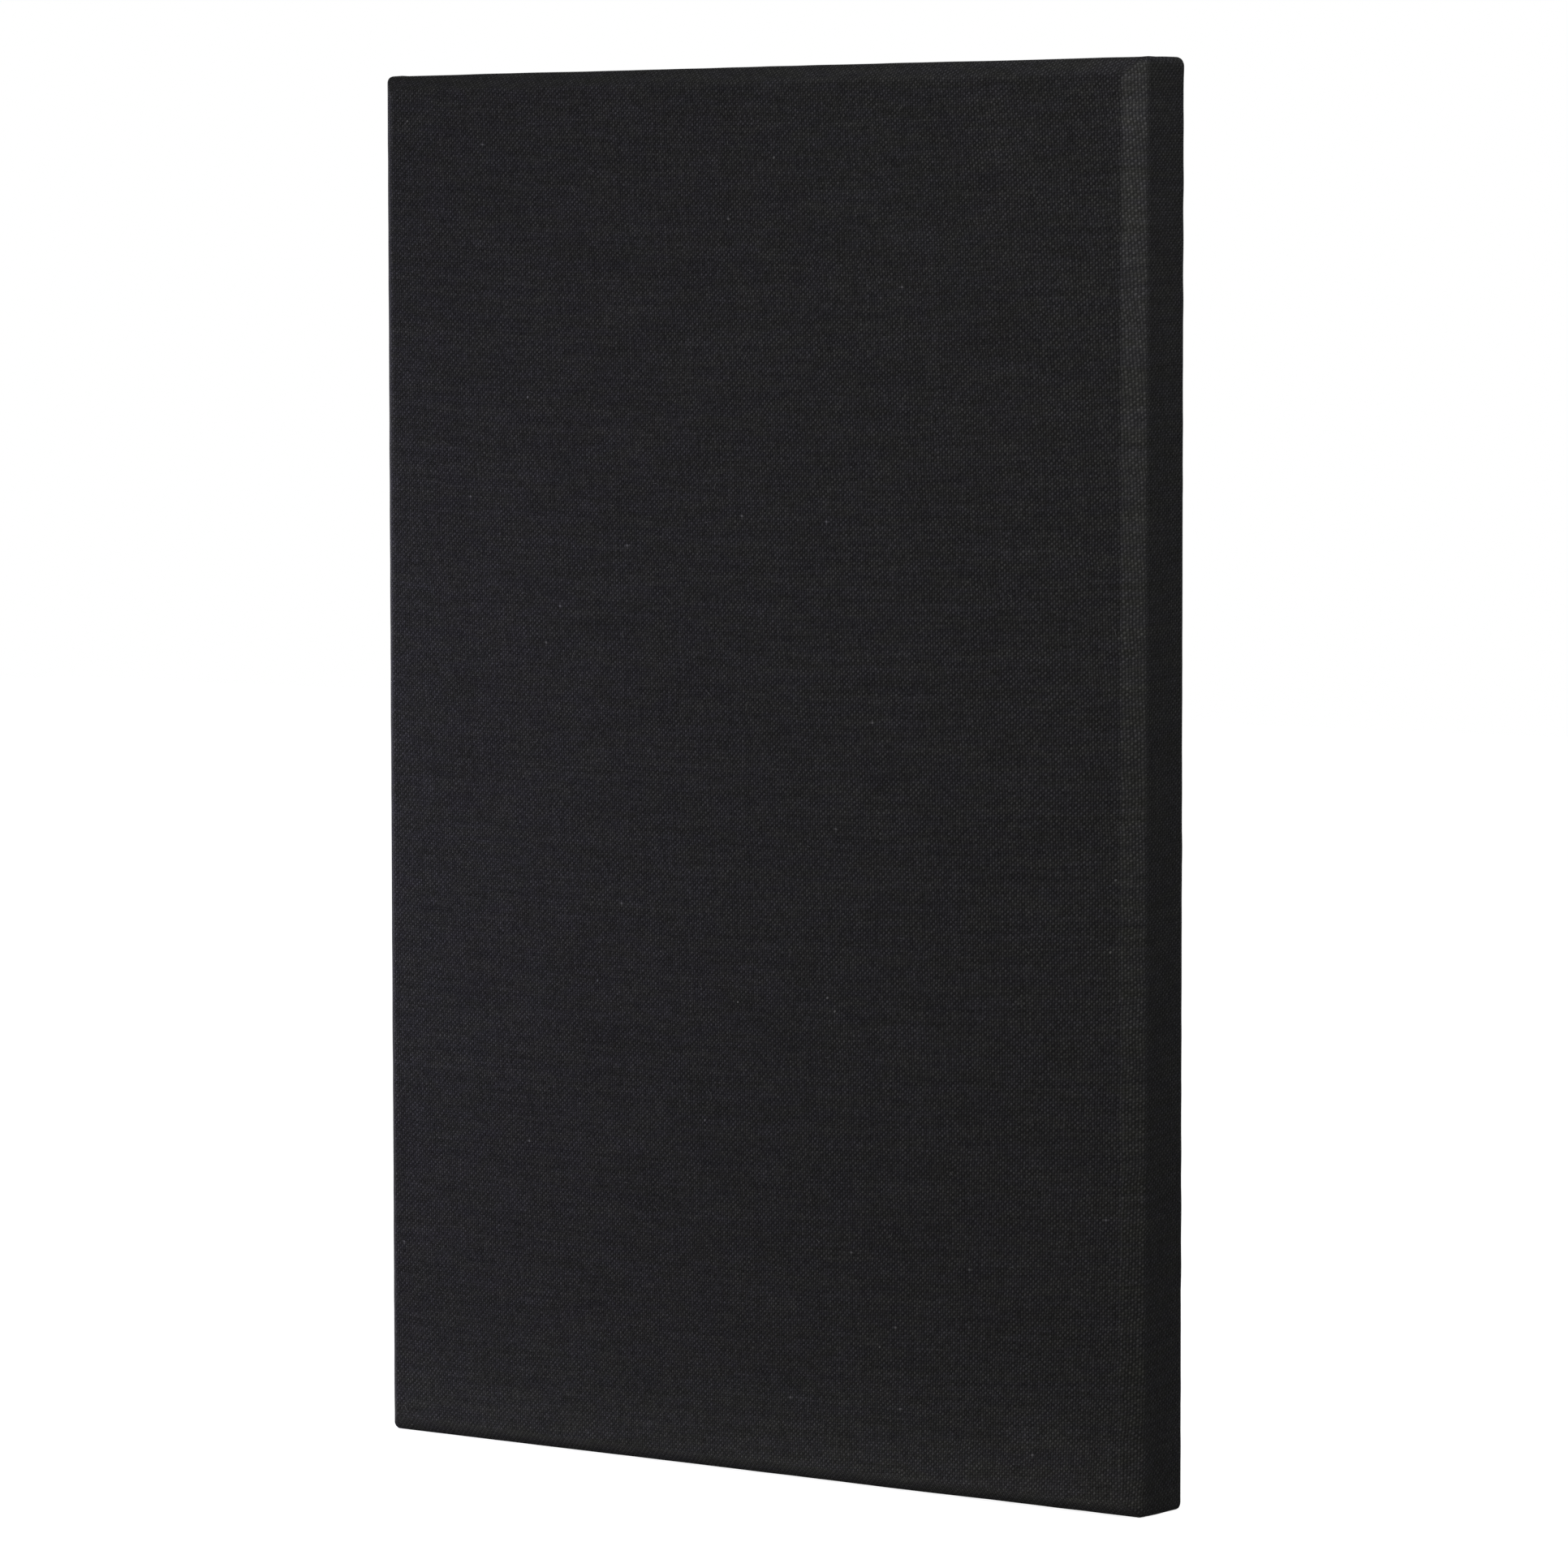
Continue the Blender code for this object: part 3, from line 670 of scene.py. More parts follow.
@dataclass(frozen=True)
class FeltedFibre:
    """Matted fibre, as mineral wool or a glass tissue: layered strands of two shades."""

    name: str
    low: Colour
    high: Colour
    scale: float
    relief: float

    def build(self) -> Material:
        """Make the material."""
        nodes = material(self.name, Roughness=0.95, Specular_IOR_Level=0.2)
        strands = nodes.noise(nodes.scaled(nodes.place(), 1.0, 3.0, 1.6), self.scale, 6.0)
        clumps = nodes.noise(nodes.place(), self.scale / 9.0, 3.0)
        share = nodes.rise(nodes.plus(nodes.times(strands, 0.65), nodes.times(clumps, 0.35)), 0.3, 0.7)
        return nodes.finish(nodes.colours(share, self.low, self.high), strands, self.relief)


@dataclass(frozen=True)
class Fluff:
    """Stray pale fibre that has settled on the cloth."""

    low: float = 0.05
    high: float = 0.15

    def build(self) -> Material:
        """Make the material."""
        nodes = material("pale_fluff", Roughness=0.9, Specular_IOR_Level=0.2)
        value = nodes.between(nodes.noise(nodes.place(), 900.0), self.low, self.high)
        return nodes.finish(nodes.tinted(value, (1.0, 1.0, 1.03)))


# The panel's sub-assemblies


def lay_sheet(item: Item, thickness: float, offset: float, flat: Array, cut_away: float) -> None:
    """Args:
        item: the cloth.
        thickness: how thick it is.
        offset: -1 where the thickness goes inwards, and 0 where it goes both ways.
        flat: its size when unfolded.
        cut_away: the area that is cut out of its corners.
    """
    wall = item.modifiers.new("thickness", "SOLIDIFY")
    wall.thickness, wall.offset = thickness, offset
    float(flat.prod() - cut_away)
    LOG.info("%s is cut %.0f x %.0f mm", item.name, *(flat / MM))


@dataclass
class CoverCloth:
    """The one cloth that wraps the panel: front, bevels, sides and a hem turned in on the back.

    The front is a grid. Round it, strips carry a section of (inset, y) points along each of the four
    sides and meet on the corners' diagonals.
    """

    bevel: float = 10.0 * MM
    arris_radius: float = 3.0 * MM
    back_radius: float = 3.0 * MM
    corner_radius: float = 4.5 * MM
    hem: float = 24.0 * MM
    thickness: float = 0.8 * MM
    columns: int = 108
    rows: int = 164
    corner_reach: float = 30.0 * MM
    corner_shares: tuple[float, ...] = (0.0, 0.03, 0.06, 0.09, 0.122, 0.138, 0.1457, 0.153, 0.19, 0.27,
                                        0.38, 0.54, 0.75, 1.0)
    pleat_column: int = 6
    pleat_inset: float = 5.2 * MM
    pleat_lift: float = 0.7 * MM
    ripple: float = 0.16 * MM
    small_ripple: float = 0.035 * MM
    crease: float = 0.20 * MM
    staple_pull: float = 0.14 * MM
    staple_pitch: float = 38.0 * MM
    # How much of the painted bevel highlight is left at the foot and on the level edges.
    highlight_at_foot: float = 0.25
    highlight_on_level_edges: float = 0.15

    def __post_init__(self) -> None:
        """Take the outer size from the solid that the cloth stands for."""
        low, high = corners_of("fabric_cover")
        self.half = (high - low)[[0, 2]] / 2
        self.middle_z = (high[2] + low[2]) / 2
        self.front_y, self.back_y = low[1], high[1]
        self.reach = self.bevel + self.arris_radius * math.tan(math.pi / 8)

    def section(self) -> tuple[Array, Array]:
        """The section as (inset, y), and how far each point is along it.

        Two arcs of 45 degrees round the bevel's arrises, the side, a quarter circle to the back and the
        hem's flat. An arc's point is its centre minus the radius times (sin t, cos t).

        Returns:
            The points, and their distances along the section.
        """
        arris, reach, back = self.arris_radius, self.reach, self.back_radius
        eighth, quarter = np.linspace(0.0, math.pi / 4, 6), np.linspace(0.0, math.pi / 2, 5)
        front, outer = (
            np.stack([inset - arris * np.sin(turn + eighth), y - arris * np.cos(turn + eighth)], axis=-1)
            for turn, inset, y in ((0.0, reach, self.front_y + arris),
                                   (math.pi / 4, arris, self.front_y + reach)))
        rear = np.stack([back * (1 - np.cos(quarter)), self.back_y - back * (1 - np.sin(quarter))], axis=-1)
        points = np.concatenate([front, np.linspace(front[-1], outer[0], 5)[1:-1], outer,
                                 np.linspace(outer[-1], rear[0], 11)[1:-1], rear,
                                 np.linspace(rear[-1], [self.hem, self.back_y], 5)[1:]])
        steps = np.linalg.norm(np.diff(points, axis=0), axis=1)
        return points, np.concatenate([[0.0], np.cumsum(steps)])

    def strip(self, half_along: float, half_across: float, middle_steps: int) -> tuple[Array, Array, Array]:
        """One side's strip, in numbers along the side and across it.

        The corner parts go from the diagonal round the corner's arc and straight on to a line that all
        rings share, at even shares of their length. Between the two lines the columns stand straight.

        Args:
            half_along: half the panel's size along the side.
            half_across: half its size across.
            middle_steps: how many columns lie between the corner parts.

        Returns:
            The places along and across, by ring and column, and the places along the unfolded side.
        """
        inset = self.section()[0][:, :1]
        radius = np.maximum(self.corner_radius - inset, 0.0)
        arc = radius * math.pi / 4
        whole = arc + self.corner_reach - inset - radius
        length = np.array(self.corner_shares)[None, :] * whole
        turn = math.pi / 4 - np.minimum(length, arc) / np.maximum(radius, 1e-9)
        past = np.maximum(length - arc, 0.0)
        along = half_along - inset - radius + radius * np.sin(turn) - past
        across = half_across - inset - radius + radius * np.cos(turn)
        line = half_along - self.corner_reach
        flat = line + whole - length
        middle = np.broadcast_to(np.linspace(-line, line, middle_steps + 1)[1:-1],
                                 (len(inset), middle_steps - 1))
        edge = np.broadcast_to(half_across - inset, middle.shape)
        return (np.concatenate([-along, middle, along[:, ::-1]], axis=1),
                np.concatenate([across, edge, across[:, ::-1]], axis=1),
                np.concatenate([-flat, middle, flat[:, ::-1]], axis=1))

    def strained(self, x: Array, z: Array) -> Array:
        """The cloth map: flat places moved as the weave is bowed and skewed by the pull of wrapping.

        The weft sags by a parabola across the width, the warp leans, and both fan out to the right.

        Args:
            x: the places on the unfolded cloth along X, from the front's middle.
            z: the places along Z.

        Returns:
            The places in the weave, in metres of cloth.
        """
        width, height = 2 * self.half
        a, b = x / width, z / height
        lean = height * (0.034 * b + 0.03 * b * b + 0.08 * a * b * b - 0.03 * a * b)
        spread = -0.125 * width * np.maximum(a, 0.0) ** 2
        bow = width * (-0.05 * a * a - 0.01 * a + 0.05 * a * b)
        return np.stack([x + lean + spread + width, z + bow + height], axis=-1)

    def patch(self, x: Array, y: Array | float, z: Array, flat_x: Array, flat_z: Array) -> Surface:
        """A grid of points with the cloth map at its corners, wound to face away from the middle.

        Args:
            x: the places along X, by row and column.
            y: along Y.
            z: along Z, from the panel's middle.
            flat_x: the unfolded places along X.
            flat_z: the unfolded places along Z.

        Returns:
            The surface.
        """
        quads = grid_quads(*x.shape)
        mapped = self.strained(*np.broadcast_arrays(flat_x, flat_z)).reshape(-1, 2)
        surface = Surface(spots(x, y, z + self.middle_z).reshape(-1, 3), quads, [], mapped[quads])
        corners = surface.corners(np.array([0.0, (self.front_y + self.back_y) / 2, self.middle_z]))
        outward = (surface.crossed() * (corners[0] + corners[2])).sum()
        return surface.flipped() if outward < 0 else surface

    def shell(self) -> Surface:
        """The undisturbed cloth: the front and eight pieces of strip, welded.

        The part of the upper and lower strips between a pleat and the corner belongs to the cloth of
        the side, so its map goes on from the side's round the corner.

        Returns:
            The welded surface, facing out.
        """
        section, travel = self.section()
        y = section[:, 1:]
        out_x, out_z = (half - self.reach + travel[:, None] for half in self.half)
        level_x, level_z, level_flat = self.strip(*self.half, self.columns)
        side_z, side_x, side_flat = self.strip(*self.half[::-1], self.rows)
        front = np.meshgrid(level_x[0], side_z[0])
        patches = [self.patch(front[0], self.front_y, front[1], *front)]
        count, fold = level_x.shape[1], self.pleat_column
        beyond = side_flat[:, -1:] + level_flat[:, -1:] - np.abs(level_flat)
        for sign in (-1, 1):
            patches.append(self.patch(sign * side_x, y, side_z, sign * out_x, side_flat))
            for columns, flat_x, flat_z in ((slice(fold, count - fold), level_flat, out_z),
                                            (slice(0, fold + 1), -out_x, beyond),
                                            (slice(count - fold - 1, count), out_x, beyond)):
                x, z, flat_x, flat_z = (part[:, columns] for part in
                                        np.broadcast_arrays(level_x, level_z, flat_x, flat_z))
                patches.append(self.patch(x, y, sign * z, flat_x, sign * flat_z))
        return Surface.joined(patches).welded()

    def disturbed(self, shell: Surface) -> Surface:
        """The cloth as it was pulled over the frame.

        Each point moves along its normal by the sum of broad and fine ripples, creases that fan out
        from the corners down the sides, dips where the hem's staples pull, and the pleats' lift. What
        the panel stands on presses the cloth flat there.

        Args:
            shell: the undisturbed cloth.

        Returns:
            The same surface, moved.
        """
        points, normals = shell.points, shell.normals()
        x, y, z = points[:, 0], points[:, 1], points[:, 2] - self.middle_z
        half_x, half_z = self.half
        on_side, _, on_end = smooth_step(np.abs(normals), 0.75, 0.98).T
        on_front = smooth_step(-normals[:, 1], 0.75, 0.98)
        move = self.ripple * Ripples(3, 0.09, 0.24).at(points) * (on_front + 0.5 * on_side + 0.5 * on_end)
        move += self.small_ripple * Ripples(5, 0.022, 0.05).at(points)
        depth = y - self.front_y - self.reach
        for run, share in ((half_z - np.abs(z), on_side), (half_x - np.abs(x), on_end)):
            away = np.hypot(run, depth) + 1e-6
            turn = np.arctan2(np.maximum(depth, 0.0), run)
            fan = np.sin(turn * 19.0) * np.exp(-away / 0.05) * smooth_step(away, 0.004, 0.02)
            pull = np.exp(-(self.back_y - y) / 0.011) * np.cos(math.tau * run / self.staple_pitch)
            move += (self.crease * fan + self.staple_pull * pull) * share
        past = np.abs(x) - half_x + self.pleat_inset
        lift = smooth_step(past, -0.15 * MM, 0.15 * MM) * np.exp(-np.maximum(past, 0.0) / (4.0 * MM))
        down = smooth_step(depth, -2.0 * MM, 10.0 * MM)
        move += self.pleat_lift * lift * down * smooth_step(np.abs(normals[:, 2]), 0.3, 0.8)
        shell.points = points + normals * np.clip(move, -0.35 * MM, 1.2 * MM)[:, None]
        shell.points[:, 2] = np.maximum(shell.points[:, 2], self.middle_z - half_z)
        return shell

    def edge_highlight_share(self, points: Array) -> Array:
        """How much painted highlight each point takes: most on the bevel, fading over a few millimetres to
        either side.

        The upright edges take it most, and it fades down the panel: 1 at the top, 0.25 at the foot.

        Args:
            points: the undisturbed cloth's points.

        Returns:
            The painted highlight, from 0 to 1.
        """
        in_x = self.half[0] - np.abs(points[:, 0])
        in_z = self.half[1] - np.abs(points[:, 2] - self.middle_z)
        off_arris = np.maximum(np.minimum(in_x, in_z), points[:, 1] - self.front_y)
        height = (points[:, 2] - self.middle_z + self.half[1]) / (2 * self.half[1])
        # Painted highlight: fading towards the foot, and weaker on the level edges.
        highlight_by_height = self.highlight_at_foot + (1.0 - self.highlight_at_foot) * height
        upright = self.highlight_on_level_edges + (1.0 - self.highlight_on_level_edges) * smooth_step(in_z - in_x, -2.0 * MM, 2.0 * MM)
        return smooth_step(-off_arris, -14.0 * MM, -9.5 * MM) * highlight_by_height * upright

    def build(self, finish: Material) -> None:
        """Args:
            finish: its material.
        """
        shell = self.shell()
        edge_highlight = self.edge_highlight_share(shell.points)
        item = self.disturbed(shell).piece("cover_cloth", finish, Body.PANEL, "cover_cloth",
                                           ("fabric_cover",))
        # The edge attribute carries the painted highlight along the bevel to the cloth's material.
        shade = item.data.attributes.new("edge", "FLOAT", "POINT")
        shade.data.foreach_set("value", edge_highlight.astype(np.float32))
        travel = self.section()[1][-1]
        lay_sheet(item, self.thickness, -1.0, 2 * (self.half - self.reach + travel),
                  2 * (travel - self.reach) ** 2)


@dataclass
class DustCloth:
    """The thin bonded cloth that closes the back, its edge folded under and stapled down."""

    thickness: float = 0.25 * MM
    fold: float = 9.0 * MM
    fold_gap: float = 0.35 * MM
    columns: int = 146
    rows: int = 222
    edge_columns: int = 8
    frame_width: float = 26.0 * MM
    billow: float = 2.0 * MM
    wrinkle: float = 0.85 * MM
    pucker: float = 0.35 * MM
    dip: float = 0.18 * MM
    sunk: float = 0.05 * MM

    def __post_init__(self) -> None:
        """Take the outline from the solid."""
        low, high = corners_of("dust_cloth")
        self.half = (high - low)[[0, 2]] / 2
        self.middle_z = (high[2] + low[2]) / 2
        self.face_y = high[1]

    def spread(self, half: float, steps: int) -> Array:
        """Places across one way: close together near both edges, even between them."""
        near = half - np.linspace(0.0, self.frame_width, self.edge_columns + 1)[:-1]
        middle = np.linspace(self.frame_width - half, half - self.frame_width, steps + 1)
        return np.concatenate([-near, middle, near[::-1]])

    def height(self, points: Array, staples: Array) -> Array:
        """How far the cloth stands out behind the solid's face.

        Over the frame it lies flat, dips at each staple and rises in three puckers round it. Inside the
        frame it bellies out by a smooth random height that rises over 60 mm, with short wrinkles that
        run in from the edge.

        Args:
            points: the flat cloth's points.
            staples: the staples' (x, z) places.

        Returns:
            The height at each point.
        """
        in_x = self.half[0] - np.abs(points[:, 0])
        in_z = self.half[1] - np.abs(points[:, 2] - self.middle_z)
        inside = np.minimum(in_x, in_z)
        free = smooth_step(inside, self.frame_width - 2.0 * MM, self.frame_width + 60.0 * MM)
        belly = self.billow * (1.0 + 0.55 * Ripples(11, 0.05, 0.25).at(points)) * free
        run = np.where(in_x < in_z, points[:, 2], points[:, 0])
        wrinkle = self.wrinkle * Ripples(13, 0.012, 0.03).at(spots(run, run * 0.2, run * 0.1))
        wrinkle *= smooth_step(inside, 14.0 * MM, 34.0 * MM)
        wrinkle *= np.exp(-np.maximum(inside - 30.0 * MM, 0.0) / (55.0 * MM))
        apart = points[:, None, ::2] - staples[None]
        away = np.hypot(apart[..., 0], apart[..., 1])
        nearest, staple = away.min(axis=1), away.argmin(axis=1)
        dip = self.dip * np.exp(-(nearest / (5.0 * MM)) ** 2) * smooth_step(inside, 0.0, 3.0 * MM)
        offset = points[:, ::2] - staples[staple]
        turn = np.arctan2(offset[:, 1], offset[:, 0])
        pucker = self.pucker * np.sin(3.0 * turn + 40.0 * staples[staple, 0])
        pucker *= np.exp(-nearest / (13.0 * MM))
        pucker *= smooth_step(nearest, 3.0 * MM, 9.0 * MM) * smooth_step(inside, 1.0 * MM, 7.0 * MM)
        return np.maximum(belly + wrinkle + np.maximum(pucker, 0.0) - dip, -0.9 * MM) - self.sunk

    def under_fold(self, x: Array, z: Array) -> list[Surface]:
        """The turned-in edge: four strips that leave the face's border, bend back and run inwards.

        A strip's rows are half a circle of the fold's gap and then a straight run in, mitred at the ends.

        Args:
            x: the face's places along X.
            z: the face's places along Z, from its middle.

        Returns:
            The four strips, whose first rows are the face's border.
        """
        bend = np.linspace(0.0, math.pi, 5)
        radius = self.fold_gap / 2
        out = np.concatenate([radius * np.sin(bend), -np.linspace(2.0 * MM, self.fold, 3)])[:, None]
        depth = np.concatenate([radius * (1 - np.cos(bend)), [self.fold_gap] * 3])[:, None]
        strips = []
        for run, edge, upright, flip in ((x[0], z[0], False, True), (x[-1], z[-1], False, False),
                                         (z[:, 0], x[:, 0], True, False), (z[:, -1], x[:, -1], True, True)):
            half = np.abs(run).max()
            pair = (run * (half + out) / half, edge + np.sign(edge[0]) * out)
            level_x, level_z = pair[::-1] if upright else pair
            points = spots(level_x, self.face_y - self.sunk - depth, level_z + self.middle_z)
            strip = Surface(points.reshape(-1, 3), grid_quads(*level_x.shape))
            strips.append(strip.flipped() if flip else strip)
        return strips

    def build(self, finish: Material, staples: Array) -> None:
        """Args:
            finish: its material.
            staples: the staples' (x, z) places.
        """
        x, z = np.meshgrid(self.spread(self.half[0], self.columns), self.spread(self.half[1], self.rows))
        points = spots(x, self.face_y, z + self.middle_z).reshape(-1, 3)
        points[:, 1] += self.height(points, staples)
        surface = Surface.joined([Surface(points, grid_quads(*x.shape)), *self.under_fold(x, z)])
        item = surface.welded().flipped().piece("dust_cloth_sheet", finish, Body.PANEL, "dust_cloth",
                                                ("dust_cloth",))
        lay_sheet(item, self.thickness, 0.0, 2 * (self.half + self.fold), 4 * self.fold ** 2)


@dataclass
class Staples:
    """Wire staples that hold the dust cloth's folded edge down on the frame."""

    crown: float = 9.5 * MM
    leg: float = 2.4 * MM
    wire_width: float = 1.2 * MM
    wire_thickness: float = 0.6 * MM
    wire_round: float = 0.2 * MM
    bend: float = 0.7 * MM
    sunk: float = 0.12 * MM
    inset: float = 4.4 * MM
    pitch: float = 52.0 * MM
    corner_clearance: float = 26.0 * MM

    def __post_init__(self) -> None:
        """Set the staples out along the dust cloth's four edges, each a little out of line."""
        low, high = corners_of("dust_cloth")
        draw = np.random.default_rng(21)
        rows = []
        for axis in (0, 2):
            first, last = low[axis] + self.corner_clearance, high[axis] - self.corner_clearance
            along = np.linspace(first, last, int((last - first) / self.pitch) + 1)
            for edge in (low[2 - axis] + self.inset, high[2 - axis] - self.inset):
                places = np.zeros((len(along), 3))
                places[:, axis // 2] = along + draw.normal(0.0, 2.2 * MM, len(along))
                places[:, 1 - axis // 2] = edge + draw.normal(0.0, 0.18 * MM, len(along))
                places[:, 2] = axis * math.pi / 4 + draw.normal(0.0, 0.05, len(along))
                rows.append(places)
        self.places = np.concatenate(rows)
        self.face_y = high[1]

    def build(self, finish: Material) -> None:
        """Make them one piece: a flat wire section carried along a crown and two short legs.

        Args:
            finish: their material.
        """
        half, bend = self.crown / 2, self.bend
        turn = np.linspace(0.0, math.pi / 2, 4)
        corner = np.stack([half - bend + bend * np.sin(turn), bend * (np.cos(turn) - 1.0)], axis=-1)
        right = np.concatenate([corner, [[half, -self.leg]]])
        line = np.concatenate([right[::-1] * [-1.0, 1.0], right])
        section = soft_box_section(self.wire_width, self.wire_thickness, self.wire_round, 1)
        top = self.face_y - self.sunk + self.wire_thickness / 2
        parts = []
        for x, z, angle in self.places:
            run = np.array([math.cos(angle), 0.0, math.sin(angle)])
            across = np.array([-math.sin(angle), 0.0, math.cos(angle)])
            path = np.array([x, top, z]) + line[:, :1] * run + line[:, 1:] * ALONG_Y
            parts.append(carried(path, across, section))
        Surface.joined(parts).piece("staples", finish, Body.PANEL, "screw_steel")


@dataclass
class Hanger:
    """One strap hanger: the strap with its rolled eye, the wire ring in it and two domed screws."""

    side: Side
    strap_thickness: float = 1.2 * MM
    strap_round: float = 0.28 * MM
    foot_radius: float = 2.5 * MM
    eye_opening: float = 35.0
    wire_radius: float = 1.25 * MM
    bend_radius: float = 2.8 * MM
    head_radius: float = 3.2 * MM
    head_rim: float = 0.35 * MM
    recess_depth: float = 1.1 * MM

    def __post_init__(self) -> None:
        """Take the places from the solids."""
        low, high = corners_of(f"hanger_plate_{self.side.value}")
        ring_low, ring_high = corners_of(f"hanger_ring_{self.side.value}")
        self.x = (low[0] + high[0]) / 2
        self.strap_width = high[0] - low[0]
        self.foot_z, self.back_y = low[2], low[1]
        self.axis_y = (ring_low[1] + ring_high[1]) / 2
        self.axis_z = ring_high[2] - self.wire_radius
        self.ring_half = (ring_high[0] - ring_low[0]) / 2 - self.wire_radius
        self.ring_drop = self.axis_z - ring_low[2] - self.wire_radius

    def strap(self) -> Surface:
        """The strap: a soft-edged flat section carried up the frame and round the ring's bar.

        The path goes straight up and then round a circle about the bar, from its panel side over the
        top, and stops short of closing. At the foot the width follows the quarter circles of its corners.

        Returns:
            The closed surface.
        """
        radius = self.axis_y - self.back_y - self.strap_thickness / 2
        straight = np.concatenate([np.linspace(0.0, self.foot_radius, 7),
                                   np.linspace(self.foot_radius, self.axis_z - self.foot_z, 16)[1:]])
        angle = math.pi - np.linspace(0.0, math.radians(270.0 - self.eye_opening), 40)[1:]
        y = self.axis_y + radius * np.concatenate([np.full(len(straight), -1.0), np.cos(angle)])
        z = np.concatenate([self.foot_z + straight, self.axis_z + radius * np.sin(angle)])
        miss = np.clip(1.0 - straight / self.foot_radius, 0.0, 1.0)
        narrow = self.foot_radius * (1.0 - np.sqrt(1.0 - miss * miss))
        swell = np.ones(len(y))
        swell[:len(straight)] = 1.0 - 2.0 * narrow / self.strap_width
        section = soft_box_section(self.strap_width, self.strap_thickness, self.strap_round)
        return carried(spots(self.x, y, z), ALONG_X, section, swell=swell)

    def ring(self) -> Surface:
        """The ring: a round section carried round a bar, two bends, two arms and half a circle."""
        half, bend = self.ring_half, self.bend_radius
        quarter, sweep = np.linspace(0.0, math.pi / 2, 9), np.linspace(0.0, math.pi, 49)
        right_x = half - bend + bend * np.sin(quarter)
        right_z = -bend + bend * np.cos(quarter)
        bar = np.linspace(bend - half, half - bend, 8)[1:-1]
        x = np.concatenate([right_x, half * np.cos(sweep), -right_x[::-1], bar])
        foot_z = half - self.ring_drop - half * np.sin(sweep)
        z = np.concatenate([right_z, foot_z, right_z[::-1], np.zeros(len(bar))])
        path = spots(self.x + x, self.axis_y, self.axis_z + z)
        return carried(path, ALONG_Y, round_section(self.wire_radius, 20), closed=True)

    def screw(self, number: int) -> Surface:
        """A domed head with a cross recess, and its neck.

        Seen along its axis the head is a polar grid. Its height is a flattened dome, less the depth of
        two crossed troughs whose floors are smooth steps of the distance from their centre lines.

        Args:
            number: which of the strap's screws.

        Returns:
            The surface.
        """
        low, high = corners_of(f"hanger_screw_{self.side.value}_{number}")
        base = self.back_y + self.strap_thickness
        rim = base + self.head_rim
        share = np.linspace(0.004, 1.0, 30)[:, None]
        angle = np.linspace(0.0, math.tau, 72, endpoint=False) + 0.4 * number
        a, b = self.head_radius * share * np.cos(angle), self.head_radius * share * np.sin(angle)
        dome = rim + (high[1] - rim) * np.sqrt(np.maximum(1.0 - share ** 2.6, 0.0))
        troughs = [(1 - smooth_step(np.abs(wide), 0.32 * MM, 0.52 * MM))
                   * (1 - smooth_step(np.abs(long), 1.3 * MM, 2.1 * MM)) for wide, long in ((a, b), (b, a))]
        rings = spots(a, dome - self.recess_depth * np.maximum(*troughs), b)
        skirt = spots(a[-1:], base, b[-1:])
        return tube(np.concatenate([rings, skirt]) + (low + high) / 2 * [1, 0, 1])

    def build(self, plate: Material, wire: Material, screws: Material) -> None:
        """Make the hanger's pieces.

        Args:
            plate: the strap's finish.
            wire: the ring's.
            screws: the screws'.
        """
        word = self.side.value
        self.strap().piece(f"strap_{word}", plate, Body.PANEL, "plate_steel", (f"hanger_plate_{word}",))
        self.ring().piece(f"ring_{word}", wire, Body(f"ring_{word}"), "plate_steel", (f"hanger_ring_{word}",))
        for number in (1, 2):
            self.screw(number).piece(f"strap_screw_{word}_{number}", screws, Body.PANEL, "screw_steel",
                                     (f"hanger_screw_{word}_{number}",), sharp=32.0)


@dataclass
class WallBumper:
    """A moulded rubber button with a dished face."""

    level: str
    side: Side
    edge_round: float = 1.1 * MM
    edge_inset: float = 0.9 * MM
    dish: float = 0.35 * MM
    lip: float = 0.5 * MM
    lip_step: float = 0.25 * MM
    middle: float = 0.02 * MM
    sides: int = 56

    def build(self, finish: Material) -> None:
        """Make the button by turning its profile: a foot lip, a drafted wall, a round edge, a dish.

        A profile point (radius, height) at angle t goes to centre + (radius cos t, height, radius sin t).

        Args:
            finish: its material.
        """
        word = f"{self.level}_{self.side.value}"
        low, high = corners_of(f"wall_bumper_{word}")
        height, radius = high[1] - low[1], (high[0] - low[0]) / 2
        turn = np.linspace(0.0, math.pi / 2, 8)[:, None]
        edge = radius - self.edge_inset
        flat = edge - self.edge_round
        wall = [[self.middle, 0.0], [radius, 0.0], [radius, self.lip],
                [radius - self.lip_step, self.lip + 0.3 * MM]]
        corner = np.concatenate([edge - self.edge_round * (1 - np.cos(turn)),
                                 height - self.edge_round * (1 - np.sin(turn))], axis=1)
        across = np.linspace(flat - 0.5 * MM, self.middle, 9)[:, None]
        face = np.concatenate([across, height - self.dish * smooth_step(-across, -flat, -1.0 * MM)], axis=1)
        profile = np.concatenate([wall, corner, face])
        angle = np.linspace(0.0, math.tau, self.sides, endpoint=False)
        rings = spots(profile[:, :1] * np.cos(angle), profile[:, 1:], profile[:, :1] * np.sin(angle))
        centre = (low + high) / 2
        centre[1] = low[1]
        tube(rings + centre).piece(f"bumper_{word}", finish, Body.PANEL, "rubber", (f"wall_bumper_{word}",))


